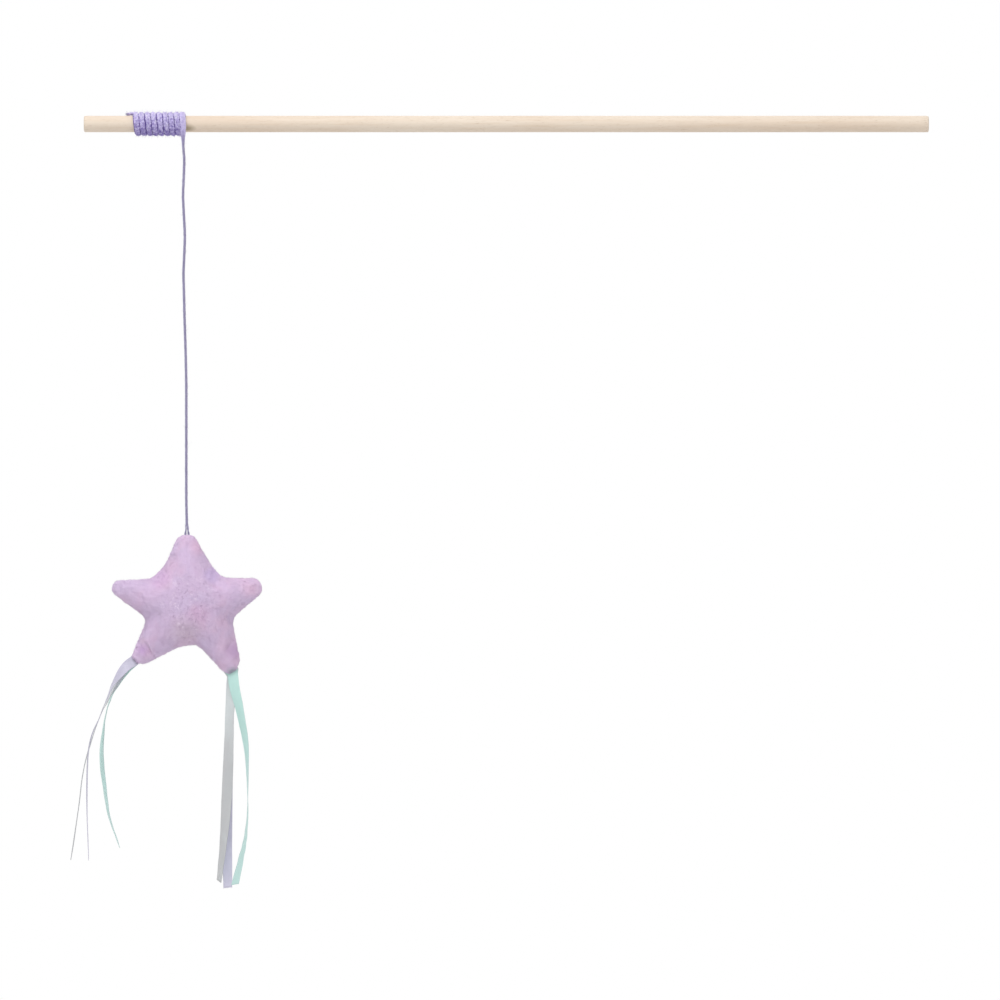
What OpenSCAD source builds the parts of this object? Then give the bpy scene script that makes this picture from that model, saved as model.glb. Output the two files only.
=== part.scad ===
// Teaser wand: a wooden dowel, a yarn cord wound on near its tip, and a stuffed star with ribbon tails.
// Millimetres. +X runs along the dowel to the handle end and +Z is up. The origin is on the dowel's axis,
// in the middle of the hand grip. The star hangs from the front of the dowel, on the -Y side.

/* [Dowel] */
// Length of the dowel
rod_len = 400; // [300:5:600]
// Diameter of the dowel
rod_d = 7.8; // [6:0.1:12]
// Chamfer round both ends of the dowel
rod_chamfer = 0.6; // [0.2:0.1:1.2]
// Distance from the handle end to the middle of the hand grip
grip_from_end = 60; // [40:5:90]

/* [Winding] */
// Distance from the tip end to the middle of the first turn
wind_from_tip = 25.1; // [15:0.1:60]
// Whole turns of yarn on the dowel
wind_turns = 8; // [4:1:14]
// Width of the yarn where it is pressed flat on the dowel
yarn_w = 2.3; // [1.8:0.1:3]
// Height of the yarn where it is pressed flat on the dowel
yarn_h = 1.6; // [1.2:0.1:2.4]
// Space between two turns
wind_gap = 0.45; // [0.42:0.01:1]
// Thickness of the glue under the turns
glue_t = 0.15; // [0.1:0.05:0.3]
// Length of the yarn's cut tail
tail_len = 2.4; // [2.3:0.1:6]

/* [Cord] */
// Diameter of the hanging cord
cord_d = 1.5; // [1:0.1:2]
// Free cord from its first bend to the end of the star's top point
cord_drop = 187.2; // [150:0.1:280]
// Diameter of each of the two strands that go into the star
strand_d = 1.2; // [0.8:0.1:1.5]
// Distance between the two strands where they go into the star
strand_spread = 1.5; // [1.3:0.1:3]
// Diameter of the knot inside the star
knot_d = 4.6; // [3.5:0.1:6]

/* [Star] */
// Depth of the star at its middle
star_depth = 22; // [16:0.5:32]
// Radius of the star's round body
body_r = 19.6; // [17:0.1:21]
// Length of the top point from the star's middle
top_len = 34.6; // [30:0.2:44]
// Length of each arm from the star's middle
arm_len = 37; // [30:0.2:44]
// Length of the left leg from the star's middle
left_leg_len = 35.2; // [30:0.2:44]
// Length of the right leg from the star's middle
right_leg_len = 37.4; // [30:0.2:44]
// Half width of the top point at its root
top_root = 21; // [16:0.5:24]
// Half width of an arm or a leg at its root
limb_root = 17.5; // [14:0.5:22]
// Radius at the end of the top point
top_r = 6.9; // [5:0.1:8]
// Radius at the end of an arm or a leg
limb_r = 4.6; // [4:0.1:6]
// Thickness of the plush
plush_t = 1.2; // [0.8:0.1:2]
// Space between the plush and the filling
fill_gap = 0.15; // [0.1:0.05:0.4]
// Thickness of the sewing thread
thread_d = 0.4; // [0.3:0.05:0.6]

/* [Ribbons] */
// Width of each ribbon
ribbon_w = 5; // [4:0.5:6]
// Thickness of each ribbon
ribbon_t = 0.3; // [0.2:0.05:0.4]
// Space between two ribbons where they are sewn in
ribbon_gap = 0.35; // [0.3:0.05:0.6]
// Length of ribbon sewn into the star
ribbon_tuck = 4.5; // [3:0.5:7]

/* [Hidden] */

// Colours
wood_tone = [0.89, 0.81, 0.72];
glue_tone = [0.86, 0.84, 0.78];
yarn_tone = [0.64, 0.59, 0.77];
plush_tone = [0.80, 0.70, 0.82];
fill_tone = [0.94, 0.94, 0.93];
thread_tone = [0.62, 0.54, 0.66];
lavender_tone = [0.78, 0.75, 0.84];
white_tone = [0.83, 0.83, 0.84];
mint_tone = [0.77, 0.89, 0.86];

// Small clearances and overruns
seat_gap = 0.05;
run_gap = 0.3;
overrun = 1;

// Dowel
rod_r = rod_d / 2;
handle_x = grip_from_end;
tip_x = handle_x - rod_len;

// Winding: the yarn lies on the glue, starts at the top and leaves the last turn down the front
wind_pitch = yarn_w + wind_gap;
wind_sides = 6;
wind_rings = 24;
wind_quarter = wind_rings / 4;
wind_steps = wind_turns * wind_rings + wind_quarter;
wind_seat_r = rod_r + glue_t + seat_gap;
wind_r = wind_seat_r / cos(180 / wind_rings) + yarn_h / 2;
wind_start_x = tip_x + wind_from_tip - wind_pitch / 4;
wind_end_x = wind_start_x + wind_pitch * wind_steps / wind_rings;
tail_bend_r = yarn_w * 0.7;

// Cord: bends between its stretches, in degrees each way, and the drop to each bend below the first
cord_r = cord_d / 2;
strand_r = strand_d / 2;
first_bend_z = -(wind_r + yarn_h / 2 + cord_d * 0.9);
neck_bend = 90;
upper_bend = 75;
middle_bend = 60;
twist_bend = 0;
lead_bend = 60;
star_bend = 60;
neck_drop = 12;
splay_len = 6.6;
star_bend_drop = cord_drop - splay_len - cord_d;
upper_drop_share = 0.35;
middle_drop_share = 0.58;
lower_drop_share = 0.8;
upper_drop = star_bend_drop * upper_drop_share;
middle_drop = star_bend_drop * middle_drop_share;
lower_drop = star_bend_drop * lower_drop_share;
cord_sides = 8;
round_turns = [20, 50];
ring_pitch = cord_d * 2.6;

// Cord route: drop below the first bend, then how far it strays along the dowel and in depth
cord_route = [[0, 0, 0], [5, 0.3, 0], [10, 0.6, 0.1], [18, 0.3, 0.2], [27, -0.1, 0], [37, 0.4, -0.3],
    [46, 0.9, -0.2], [56, 0.5, 0.1], [64, 0.1, 0.2], [73, 0.4, 0], [86, 0.7, -0.3], [101, 1.2, -0.2],
    [116, 1.5, 0.1], [131, 1.5, 0.2], [152, 1.5, 0], [171, 1.5, 0], [180, 1.7, 0], [190, 1.9, 0]];

// Star: middle of the star, and for each point its angle and length, then the half width at its root and the
// radius at its end, first on its anticlockwise side and then on its clockwise side, as seen from the front
star_at = [wind_end_x + cord_stray(cord_drop, 1), -wind_r, first_bend_z - cord_drop - top_len];
top_turn = 90;
left_arm_turn = 164.2;
right_arm_turn = 16.3;
left_leg_turn = 225.3;
right_leg_turn = 305;
function sides(root, end, shares) =
    [root * shares[0], end * shares[1], root * shares[2], end * shares[3]];
top_point = concat([top_turn, top_len], sides(top_root, top_r, [0.87, 1, 1.05, 1]));
left_arm = concat([left_arm_turn, arm_len], sides(limb_root, limb_r, [0.91, 0.89, 0.83, 0.89]));
right_arm = concat([right_arm_turn, arm_len], sides(limb_root, limb_r, [0.79, 1.12, 1.08, 1.12]));
left_leg = concat([left_leg_turn, left_leg_len], sides(limb_root, limb_r, [0.88, 1.28, 0.9, 0.83]));
right_leg = concat([right_leg_turn, right_leg_len], sides(limb_root, limb_r, [1.21, 1.95, 0.42, 0.8]));
star_points = [right_arm, top_point, left_arm, left_leg, right_leg];
body_lift = body_r * 0.098;
web = 14;
puff = 5;
tip_depth_share = 0.45;
edge_shares = [0, 0.035, 0.07, 0.11, 0.17, 0.26, 0.37, 0.5, 0.63, 0.74, 0.83, 0.89, 0.93, 0.965];
face_shares = [0.3, 0.55, 0.75, 0.88, 0.95, 0.985, 1];

// Seam thread and filling: the thread stops a few degrees beside each opening in the seam
thread_sides = 4;
thread_stop = 15;
opening_spare = 2;
core_r = body_r * 0.67;
core_flat = 0.84;
core_shares = [0.4, 0.75, 1];
wad_shares = [0, 0.45, 0.75, 0.92, 1];
wad_side_share = 0.49;

// Ribbons: stacked front to back where they are sewn in, and hinged at the end of their leg
ribbon_step = ribbon_t + ribbon_gap;
stack_t = 3 * ribbon_t + 2 * ribbon_gap;
slit_gap = 0.15;
tack_d = thread_d;
tack_back = ribbon_tuck * 0.6;
stitch_pitch = ribbon_w * 0.3;
ribbon_spans = 3;

// Ribbon routes from the seam: along the dowel, depth, height, and the turn of the ribbon's face
left_lavender_route = [[0, 0, 0, 10], [-4.4, -1.8, -3.4, 20], [-8.9, -3.4, -10.7, 38],
    [-12.3, -4.8, -17.6, 66], [-16, -6, -26.4, 84], [-20.7, -7.4, -38.7, 90], [-22.1, -8, -61.4, 92],
    [-21.2, -8, -93.6, 86]];
left_white_route = [[0, 0, 0, 8], [-4.4, 0, -3.6, 12], [-9, 0.1, -11, 25], [-12.7, 0.3, -18.2, 50],
    [-17, 0.5, -28.4, 74], [-23.3, 1, -48, 86], [-26.4, 1, -69.5, 90], [-30, 1, -93.7, 88]];
left_mint_route = [[0, 0, 0, 10], [-3.6, 2, -3.9, 18], [-7.5, 4, -10.3, 40], [-11, 5.6, -17.4, 70],
    [-13.9, 6.6, -26.2, 82], [-15.4, 7.2, -38.2, 70], [-15.4, 7.6, -50.2, 58], [-13.9, 7.8, -63.2, 66],
    [-11.6, 7.6, -75.2, 76], [-7.3, 7, -88, 84]];
right_mint_route = [[0, 0, 0, 0], [0.8, -1.2, -7, 16], [3.3, -2.6, -17.8, 42],
    [5.5, -3.4, -30.3, 60], [6.6, -4, -42.3, 74], [6.8, -4.4, -60.3, 90], [6.1, -4.4, -72.3, 104],
    [4.7, -4.2, -80.3, 118], [3.1, -4, -88.3, 138], [1.1, -3.8, -99.3, 160]];
right_white_route = [[0, 0, 0, 0], [-1.2, 0, -7.3, 2], [-2.1, 0.1, -19.3, 4], [-2.4, 0, -32.3, 5],
    [-3, -0.2, -50.3, 12], [-4, -0.3, -66.3, 30], [-5, -0.2, -82.3, 42], [-6.3, 0, -97.3, 50]];
right_lavender_route = [[0, 0, 0, 0], [-1, 0.9, -7.3, -2], [-1.8, 1.8, -19.3, -4], [-2.1, 2.6, -32.3, -6],
    [-2.5, 3.2, -50.3, -6], [-2.7, 3.4, -66.3, -5], [-2.6, 3.2, -83.3, -4], [-2.5, 2.8, -101.3, -4]];

$fn = 64;

// Vectors and curves
function unit(v) = v / norm(v);
function mix(a, b, t) = a + (b - a) * t;
function reversed(list) = [for (i = [len(list) - 1 : -1 : 0]) list[i]];
function clamp_index(i, list) = max(0, min(len(list) - 1, i));
function curve_point(p, i, t) =
    let (a = p[clamp_index(i - 1, p)], b = p[i], c = p[i + 1], d = p[clamp_index(i + 2, p)])
    b + (c - a) * (t / 2) + (2 * a - 5 * b + 4 * c - d) * (t * t / 2)
        + (3 * b - a - 3 * c + d) * (t * t * t / 2);
function smooth_route(p, spans) =
    [for (i = [0 : len(p) - 2], k = [0 : spans - 1]) curve_point(p, i, k / spans), p[len(p) - 1]];
function headings(p) =
    [for (i = [0 : len(p) - 1]) unit(p[clamp_index(i + 1, p)] - p[clamp_index(i - 1, p)])];

// One ring of a tube: out is the side that stays towards "out", high and wide are its half sizes
function ring(at, heading, out, high, wide, sides) =
    let (a = unit(out - (out * heading) * heading), b = cross(heading, a))
    [for (k = [0 : sides - 1]) let (q = 360 * (k + 0.5) / sides)
        at + a * (high * cos(q)) + b * (wide * sin(q))];

// A closed skin over rings that follow each other, with a flat cap or a pole at each end
module skin_poles(rings, first, last) {
    n = len(rings[0]);
    m = len(rings);
    sides = [for (i = [0 : m - 2], j = [0 : n - 1])
        let (a = i * n + j, b = i * n + (j + 1) % n) each [[a, b + n, b], [a, a + n, b + n]]];
    first_cap = [for (j = [0 : n - 1]) [n * m, j, (j + 1) % n]];
    last_cap = [for (j = [0 : n - 1]) [n * m + 1, (m - 1) * n + (j + 1) % n, (m - 1) * n + j]];
    polyhedron(concat([for (r = rings) each r], [first, last]),
        concat(sides, first_cap, last_cap), convexity = 8);
}
module skin_rings(rings) {
    n = len(rings[0]);
    last = (len(rings) - 1) * n;
    sides = [for (i = [0 : len(rings) - 2], j = [0 : n - 1])
        let (a = i * n + j, b = i * n + (j + 1) % n) each [[a, b + n, b], [a, a + n, b + n]]];
    first_cap = [for (j = [1 : n - 2]) [0, j, j + 1]];
    last_cap = [for (j = [1 : n - 2]) [last, last + j + 1, last + j]];
    polyhedron([for (r = rings) each r], concat(sides, first_cap, last_cap), convexity = 8);
}

// Dowel
module dowel() {
    color(wood_tone) translate([tip_x, 0, 0]) rotate([0, 90, 0]) rotate_extrude()
        polygon([[0, 0], [rod_r - rod_chamfer, 0], [rod_r, rod_chamfer],
            [rod_r, rod_len - rod_chamfer], [rod_r - rod_chamfer, rod_len], [0, rod_len]]);
}

// Glue: a thin sleeve that stops short of the outer turns
module glue_film() {
    film_len = wind_pitch * wind_turns;
    color(glue_tone) translate([wind_start_x + wind_pitch / 4, 0, 0]) rotate([0, 90, 0])
        difference() {
            cylinder(r = rod_r + glue_t, h = film_len);
            translate([0, 0, -overrun]) cylinder(r = rod_r, h = film_len + 2 * overrun);
        }
}

// Winding: a cut tail on top of the dowel, the turns, and a straight run down to the first bend
wind_high = yarn_h / 2 / cos(180 / wind_sides);
wind_wide = yarn_w / 2;
tail_x = wind_start_x - tail_bend_r;
tail_rings = [for (x = [tail_x - tail_len, tail_x - tail_len * 0.4])
    ring([x, tail_bend_r, wind_r], [1, 0, 0], [0, 0, 1], wind_high, wind_wide, wind_sides)];
tail_bend_rings = [for (q = [0 : 22.5 : 67.5])
    ring([tail_x + tail_bend_r * sin(q), tail_bend_r * cos(q), wind_r], [cos(q), -sin(q), 0],
        [0, 0, 1], wind_high, wind_wide, wind_sides)];
function wind_at(k) = let (q = 90 - 360 * k / wind_rings)
    [wind_start_x + wind_pitch * k / wind_rings, -wind_r * cos(q), wind_r * sin(q)];
function wind_heading(k) = let (q = 90 - 360 * k / wind_rings, run = 2 * PI * wind_r)
    unit([wind_pitch, -run * sin(q), -run * cos(q)]);
turn_rings = [for (k = [0 : wind_steps]) let (p = wind_at(k))
    ring(p, wind_heading(k), [0, p[1], p[2]], wind_high, wind_wide, wind_sides)];
exit_drop = -first_bend_z - bend_space(neck_bend) / 2;
exit_shares = [0.2, 0.4, 0.62, 0.9, 0.96, 1];
exit_slim_shares = [0.1, 0.5, 1, 1, 1, 1];
exit_round_shares = [1, 1, 1, 1, 0.8, 0.35];
exit_rings = [for (i = [0 : len(exit_shares) - 1])
    let (slim = exit_slim_shares[i], end = exit_round_shares[i])
    ring([wind_end_x, -wind_r, -exit_drop * exit_shares[i]], [0, 0, -1], [0, -1, 0],
        mix(wind_high, cord_r, slim) * end, mix(wind_wide, cord_r, slim) * end, wind_sides)];
wind_gaps = [for (i = [0 : len(turn_rings) - wind_rings - 2], near = [-1 : 1],
    a = turn_rings[i], b = turn_rings[i + wind_rings + near]) norm(a - b)];
echo(least_gap_between_turns_mm = min(wind_gaps));
module cord_winding() {
    color(yarn_tone) skin_rings(concat(tail_rings, tail_bend_rings, turn_rings, exit_rings));
}

// Hanging cord: each stretch has round ends, with just enough space at a bend for it to fold
function bend_space(turn) = max(run_gap, 2 * cord_r * (1 / cos(turn / 2) - 1) + seat_gap);
function cord_stray(drop, column) =
    let (table = [for (p = cord_route) [p[0], p[column]]], near = cord_d)
    (lookup(drop - near, table) + lookup(drop, table) + lookup(drop + near, table)) / 3;
function cord_at(drop) =
    [wind_end_x + cord_stray(drop, 1), -wind_r + cord_stray(drop, 2), first_bend_z - drop];
module cord_stretch(from, to, space_above, space_below) {
    top = from + space_above / 2;
    end = to - space_below / 2;
    count = ceil((end - top - 2 * cord_r) / ring_pitch);
    down = concat([for (q = round_turns) [top + cord_r * (1 - cos(q)), sin(q)]],
        [for (k = [0 : count]) [mix(top + cord_r, end - cord_r, k / count), 1]],
        [for (q = reversed(round_turns)) [end - cord_r * (1 - cos(q)), sin(q)]]);
    route = [for (d = down) cord_at(d[0])];
    facing = headings(route);
    color(yarn_tone) skin_rings([for (i = [0 : len(down) - 1])
        ring(route[i], facing[i], [0, -1, 0], cord_r * down[i][1], cord_r * down[i][1], cord_sides)]);
}
module cord_neck() cord_stretch(0, neck_drop, bend_space(neck_bend), bend_space(upper_bend));
module cord_upper() cord_stretch(neck_drop, upper_drop, bend_space(upper_bend), bend_space(middle_bend));
module cord_middle() cord_stretch(upper_drop, middle_drop, bend_space(middle_bend), bend_space(twist_bend));
module cord_lower() cord_stretch(middle_drop, lower_drop, bend_space(twist_bend), bend_space(lead_bend));
module cord_lead() cord_stretch(lower_drop, star_bend_drop, bend_space(lead_bend), bend_space(star_bend));

// Loop: below the last bend the cord parts into two strands that go into the star and end in a knot
star_top_z = star_at[2] + top_len;
knot_at = [star_at[0], star_at[1], star_top_z - plush_t - strand_spread - knot_d];
splay_z = star_top_z + splay_len;
module strand(side) {
    spread = side * strand_spread / 2;
    head = cord_at(star_bend_drop + bend_space(star_bend) / 2 + cord_r * (1 - cos(round_turns[1])));
    route = [head, [head[0] + side * strand_r / 3, head[1], splay_z],
        [star_at[0] + spread * 0.8, star_at[1], star_top_z + plush_t],
        [star_at[0] + spread, star_at[1], star_top_z - plush_t],
        [star_at[0] + spread, star_at[1], knot_at[2] + knot_d * 0.3]];
    size_shares = [0.7, 1, 1, 1, 1];
    facing = headings(route);
    skin_rings([for (i = [0 : len(route) - 1]) let (r = strand_r * size_shares[i])
        ring(route[i], facing[i], [0, -1, 0], r, r, cord_sides)]);
}
module cord_loop() {
    color(yarn_tone) difference() {
        for (side = [-1, 1]) strand(side);
        translate(knot_at) sphere(d = knot_d + 2 * seat_gap);
    }
}
module loop_knot() {
    color(yarn_tone) translate(knot_at) sphere(d = knot_d);
}

// Star edge: for each direction its turn, the reach of the edge and how far the seam opens there
function apart(a, b) = let (d = abs(a - b) % 360) min(d, 360 - d);
function point_reach(p, turn) =
    let (side = sin(turn - p[0]) > 0 ? 2 : 4, root = p[side], end = p[side + 1],
        off = apart(turn, p[0]), core = p[1] - end, slope = (root - end) / core,
        inside = end * end - pow(core * sin(off), 2))
    off >= 90 ? 0
    : inside < 0 ? root / (sin(off) + slope * cos(off))
    : min(core * cos(off) + sqrt(inside), root / (sin(off) + slope * cos(off)));
function star_reach(turn) =
    let (parts = concat([body_r + body_lift * sin(turn)], [for (p = star_points) point_reach(p, turn)]))
    body_r * pow([for (r = parts) pow(r / body_r, web)] * [for (r = parts) 1], 1 / web);
function seam_lift(turn) =
    apart(turn, top_turn) < opening_turn(strand_spread / 2 + strand_r, top_len) ? strand_r + slit_gap
    : min([for (p = [left_leg, right_leg]) apart(turn, p[0]) - opening_turn(ribbon_w / 2, p[1])]) < 0
    ? stack_t / 2 + slit_gap : 0;
function opening_turn(half, reach) = atan(half / (reach - plush_t)) + opening_spare;
function turns_between(from, to) = [for (s = edge_shares) mix(from, to, s)];
function turn_before(i) = i > 0 ? star_points[i - 1][0] : star_points[len(star_points) - 1][0] - 360;
function turn_after(i) = i < len(star_points) - 1 ? star_points[i + 1][0] : star_points[0][0] + 360;
star_turns = [for (i = [0 : len(star_points) - 1]) each turns_between(star_points[i][0], turn_after(i))];
star_edge = [for (turn = star_turns) [turn, star_reach(turn), seam_lift(turn)]];

// A place on the star's face: share runs from the middle to the edge and inset draws the face inwards
function face_high(far) = let (s = min(1, far / arm_len))
    star_depth / 2 * mix(1, tip_depth_share, s * s * (3 - 2 * s));
function face_at(edge, share, inset, side) =
    let (far = share * (edge[1] - inset),
        high = (face_high(share * edge[1]) - inset) * sqrt(1 - pow(share, puff)))
    star_at + [far * cos(edge[0]), side * (high + edge[2] * pow(share, puff)), far * sin(edge[0])];
function face_ring(edges, share, inset, side) = [for (e = edges) face_at(e, share, inset, side)];

// Plush: two panels, each a shell of even thickness, that meet at the seam all round
module plush_panel(side) {
    edges = side < 0 ? reversed(star_edge) : star_edge;
    outer = [for (s = face_shares) face_ring(edges, s, 0, side)];
    inner = [for (s = reversed(face_shares)) face_ring(edges, s, plush_t, side)];
    middle = star_at + [0, side * star_depth / 2, 0];
    color(plush_tone) skin_poles(concat(outer, inner), middle, middle - [0, side * plush_t, 0]);
}
module star_front() plush_panel(-1);
module star_back() plush_panel(1);

// Seam thread: three runs inside the edge, between the places where the cord and the ribbons go in
thread_inset = plush_t + 2 * fill_gap + thread_d / 2;
function thread_path(from, to) =
    [for (e = concat(star_edge, [for (e = star_edge) [e[0] + 360, e[1], e[2]]]))
        if (e[0] > from + thread_stop && e[0] < to - thread_stop)
            star_at + (e[1] - thread_inset) * [cos(e[0]), 0, sin(e[0])]];
module thread_run(from, to) {
    path = thread_path(from, to);
    facing = headings(path);
    skin_rings([for (i = [0 : len(path) - 1])
        ring(path[i], facing[i], [0, -1, 0], thread_d / 2, thread_d / 2, thread_sides)]);
}
module seam_thread() {
    color(thread_tone) {
        thread_run(top_turn, left_leg_turn);
        thread_run(left_leg_turn, right_leg_turn);
        thread_run(right_leg_turn, top_turn + 360);
    }
}

// Filling: a round wad in the body and one packed into each point, all inside the thread
fill_inset = thread_inset + thread_d / 2 + fill_gap;
core_edges = [for (i = [0 : 2 : len(star_edge) - 1]) [star_edge[i][0], core_r + fill_inset, 0]];
function core_ring(share, side) = [for (e = reversed(core_edges))
    let (high = (face_high(share * core_r) - fill_inset) * core_flat)
    star_at + [share * core_r * cos(e[0]), side * high, share * core_r * sin(e[0])]];
module fill_body() {
    pole = [0, (star_depth / 2 - fill_inset) * core_flat, 0];
    color(fill_tone) skin_poles(concat([for (s = core_shares) core_ring(s, -1)],
        [for (s = reversed(core_shares)) core_ring(s, 1)]), star_at - pole, star_at + pole);
}
module fill_wad(p) {
    i = search([p[0]], [for (q = star_points) q[0]])[0];
    from = mix(p[0], turn_before(i), wad_side_share);
    to = mix(p[0], turn_after(i), wad_side_share);
    near = [for (round = [-360, 0], e = star_edge) let (turn = e[0] + round)
        if (turn > from && turn < to) [turn, e[1], 0]];
    skin_rings([for (edge = near)
        let (root = (core_r + fill_gap * 2) / (edge[1] - fill_inset),
            at = [for (s = wad_shares) mix(root, 1, s)])
        concat([for (s = at) face_at(edge, s, fill_inset, -1)],
            [for (k = [len(at) - 2 : -1 : 0]) face_at(edge, at[k], fill_inset, 1)])]);
}
module fill_top() {
    color(fill_tone) difference() {
        fill_wad(top_point);
        translate(knot_at) {
            sphere(d = knot_d + 2 * slit_gap, $fn = 24);
            cylinder(d = strand_spread + strand_d + 2 * slit_gap, h = top_len, $fn = 24);
        }
    }
}
module fill_left_arm() color(fill_tone) fill_wad(left_arm);
module fill_right_arm() color(fill_tone) fill_wad(right_arm);
module leg_wad(p) {
    deep = stack_t + 2 * (tack_d + slit_gap);
    wide = ribbon_w + 2 * slit_gap;
    color(fill_tone) difference() {
        fill_wad(p);
        along_leg(p, p[1] - ribbon_tuck - slit_gap) translate([0, -deep / 2, -wide / 2])
            cube([ribbon_tuck + overrun, deep, wide]);
    }
}
module fill_left_leg() leg_wad(left_leg);
module fill_right_leg() leg_wad(right_leg);

// Sewn-in ribbon ends: three tabs stacked in each leg, held by stitches of thread through them
module along_leg(p, from) {
    translate(star_at) rotate([0, -p[0], 0]) translate([from, 0, 0]) children();
}
module stitches(grow) {
    for (i = [-1 : 1]) translate([0, 0, i * stitch_pitch]) rotate([90, 0, 0])
        cylinder(d = tack_d + 2 * grow, h = stack_t + tack_d, center = true, $fn = 16);
}
module ribbon_tabs(p) {
    difference() {
        for (layer = [-1 : 1]) along_leg(p, p[1] - ribbon_tuck)
            translate([0, layer * ribbon_step - ribbon_t / 2, -ribbon_w / 2])
                cube([ribbon_tuck - slit_gap, ribbon_t, ribbon_w]);
        along_leg(p, p[1] - tack_back) stitches(seat_gap);
    }
}
module tack(p) {
    color(thread_tone) along_leg(p, p[1] - tack_back) {
        stitches(0);
        for (side = [-1, 1]) translate([0, side * (stack_t + tack_d) / 2, 0])
            cylinder(d = tack_d, h = 2 * stitch_pitch + tack_d, center = true, $fn = 16);
    }
}
module left_ribbon_ends() color(lavender_tone) ribbon_tabs(left_leg);
module right_ribbon_ends() color(mint_tone) ribbon_tabs(right_leg);
module left_tack() tack(left_leg);
module right_tack() tack(right_leg);

// Ribbon tails: flat strips that leave the seam along its line and turn as they fall
module ribbon_tail(p, layer, route) {
    leg = [cos(p[0]), 0, sin(p[0])];
    seam = star_at + leg * (p[1] + run_gap) + [0, layer * ribbon_step, 0];
    smooth = smooth_route(route, ribbon_spans);
    line = [for (q = smooth) seam + [q[0], q[1], q[2]]];
    facing = headings(line);
    half_t = ribbon_t / 2;
    skin_rings([for (i = [0 : len(line) - 1])
        let (square = i > 0 ? facing[i] : leg, turn = i > 0 ? smooth[i][3] : 0,
            flat = unit(cross(square, [0, -1, 0])), half_w = ribbon_w / 2 / norm(cross(flat, facing[i])),
            wide = flat * cos(turn) + cross(square, flat) * sin(turn), thick = cross(square, wide))
        [for (c = [[1, 1], [-1, 1], [-1, -1], [1, -1]])
            line[i] + wide * (c[0] * half_w) + thick * (c[1] * half_t)]]);
}
module left_lavender_ribbon() color(lavender_tone) ribbon_tail(left_leg, -1, left_lavender_route);
module left_white_ribbon() color(white_tone) ribbon_tail(left_leg, 0, left_white_route);
module left_mint_ribbon() color(mint_tone) ribbon_tail(left_leg, 1, left_mint_route);
module right_mint_ribbon() color(mint_tone) ribbon_tail(right_leg, -1, right_mint_route);
module right_white_ribbon() color(white_tone) ribbon_tail(right_leg, 0, right_white_route);
module right_lavender_ribbon() color(lavender_tone) ribbon_tail(right_leg, 1, right_lavender_route);

dowel();
glue_film();
cord_winding();
cord_neck();
cord_upper();
cord_middle();
cord_lower();
cord_lead();
cord_loop();
loop_knot();
star_front();
star_back();
seam_thread();
fill_body();
fill_top();
fill_left_arm();
fill_right_arm();
fill_left_leg();
fill_right_leg();
left_ribbon_ends();
right_ribbon_ends();
left_tack();
right_tack();
left_lavender_ribbon();
left_white_ribbon();
left_mint_ribbon();
right_mint_ribbon();
right_white_ribbon();
right_lavender_ribbon();
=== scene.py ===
"""Teaser wand: a beech dowel, a wound lavender yarn that hangs down as a cord, and a plush star with satin tails."""
import functools
import logging
import math
from dataclasses import dataclass, field
from enum import Enum

import bmesh
import bpy
import numpy as np
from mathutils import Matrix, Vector, kdtree, noise


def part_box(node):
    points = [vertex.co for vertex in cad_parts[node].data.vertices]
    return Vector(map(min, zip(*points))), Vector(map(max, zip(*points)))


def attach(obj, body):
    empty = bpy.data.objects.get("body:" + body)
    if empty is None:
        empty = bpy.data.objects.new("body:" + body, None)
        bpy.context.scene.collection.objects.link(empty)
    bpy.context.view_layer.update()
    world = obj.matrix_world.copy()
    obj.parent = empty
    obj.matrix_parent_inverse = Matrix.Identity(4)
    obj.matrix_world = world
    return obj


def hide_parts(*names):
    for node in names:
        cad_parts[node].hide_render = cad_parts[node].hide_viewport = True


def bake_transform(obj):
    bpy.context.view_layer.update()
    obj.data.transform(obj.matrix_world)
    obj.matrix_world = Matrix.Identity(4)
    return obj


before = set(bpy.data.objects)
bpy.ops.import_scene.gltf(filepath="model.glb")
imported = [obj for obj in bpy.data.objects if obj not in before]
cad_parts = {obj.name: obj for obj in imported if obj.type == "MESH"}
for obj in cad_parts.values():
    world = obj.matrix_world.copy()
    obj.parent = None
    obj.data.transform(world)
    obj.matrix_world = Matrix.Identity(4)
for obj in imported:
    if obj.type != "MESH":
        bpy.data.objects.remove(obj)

LOG = logging.getLogger("teaser_wand")
MM = 0.001
FULL_TURN = 2 * math.pi
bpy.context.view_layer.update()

Numbers = tuple[float, ...]
Colour = Numbers
Place = tuple[float, float, float]
Span = tuple[float, float]
# Each row of a route is x, y and z in millimetres from the seam, and the turn of the ribbon's face in degrees.
Route = tuple[tuple[float, float, float, float], ...]
Rows = np.ndarray
Piece = bpy.types.Object
Material = bpy.types.Material
Socket = bpy.types.NodeSocket


# ---- Numbers ----


def rgb(*steps: int) -> Colour:
    """Turns a colour in display steps into a linear one.

    Args:
        steps: red, green and blue, from 0 to 255.

    Returns:
        The linear colour, opaque.
    """
    parts = [step / 255 for step in steps]
    linear = [c / 12.92 if c <= 0.04045 else ((c + 0.055) / 1.055) ** 2.4 for c in parts]
    return (*linear, 1.0)


def unit(rows: Rows) -> Rows:
    """Scales each direction to length one."""
    return rows / np.maximum(np.linalg.norm(rows, axis=-1, keepdims=True), 1e-12)


def smooth_step(low: float, high: float, value: Rows) -> Rows:
    """Rises smoothly from 0 at low to 1 at high."""
    t = np.clip((value - low) / (high - low), 0.0, 1.0)
    return t * t * (3 - 2 * t)


def ripple(places: Rows, rate: float, seed: float, row: float = 0.0) -> Rows:
    """Gives smooth random numbers from about -1 to 1 along a list of places."""
    return np.array([noise.noise(Vector((a * rate, seed, row))) for a in places])


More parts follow.
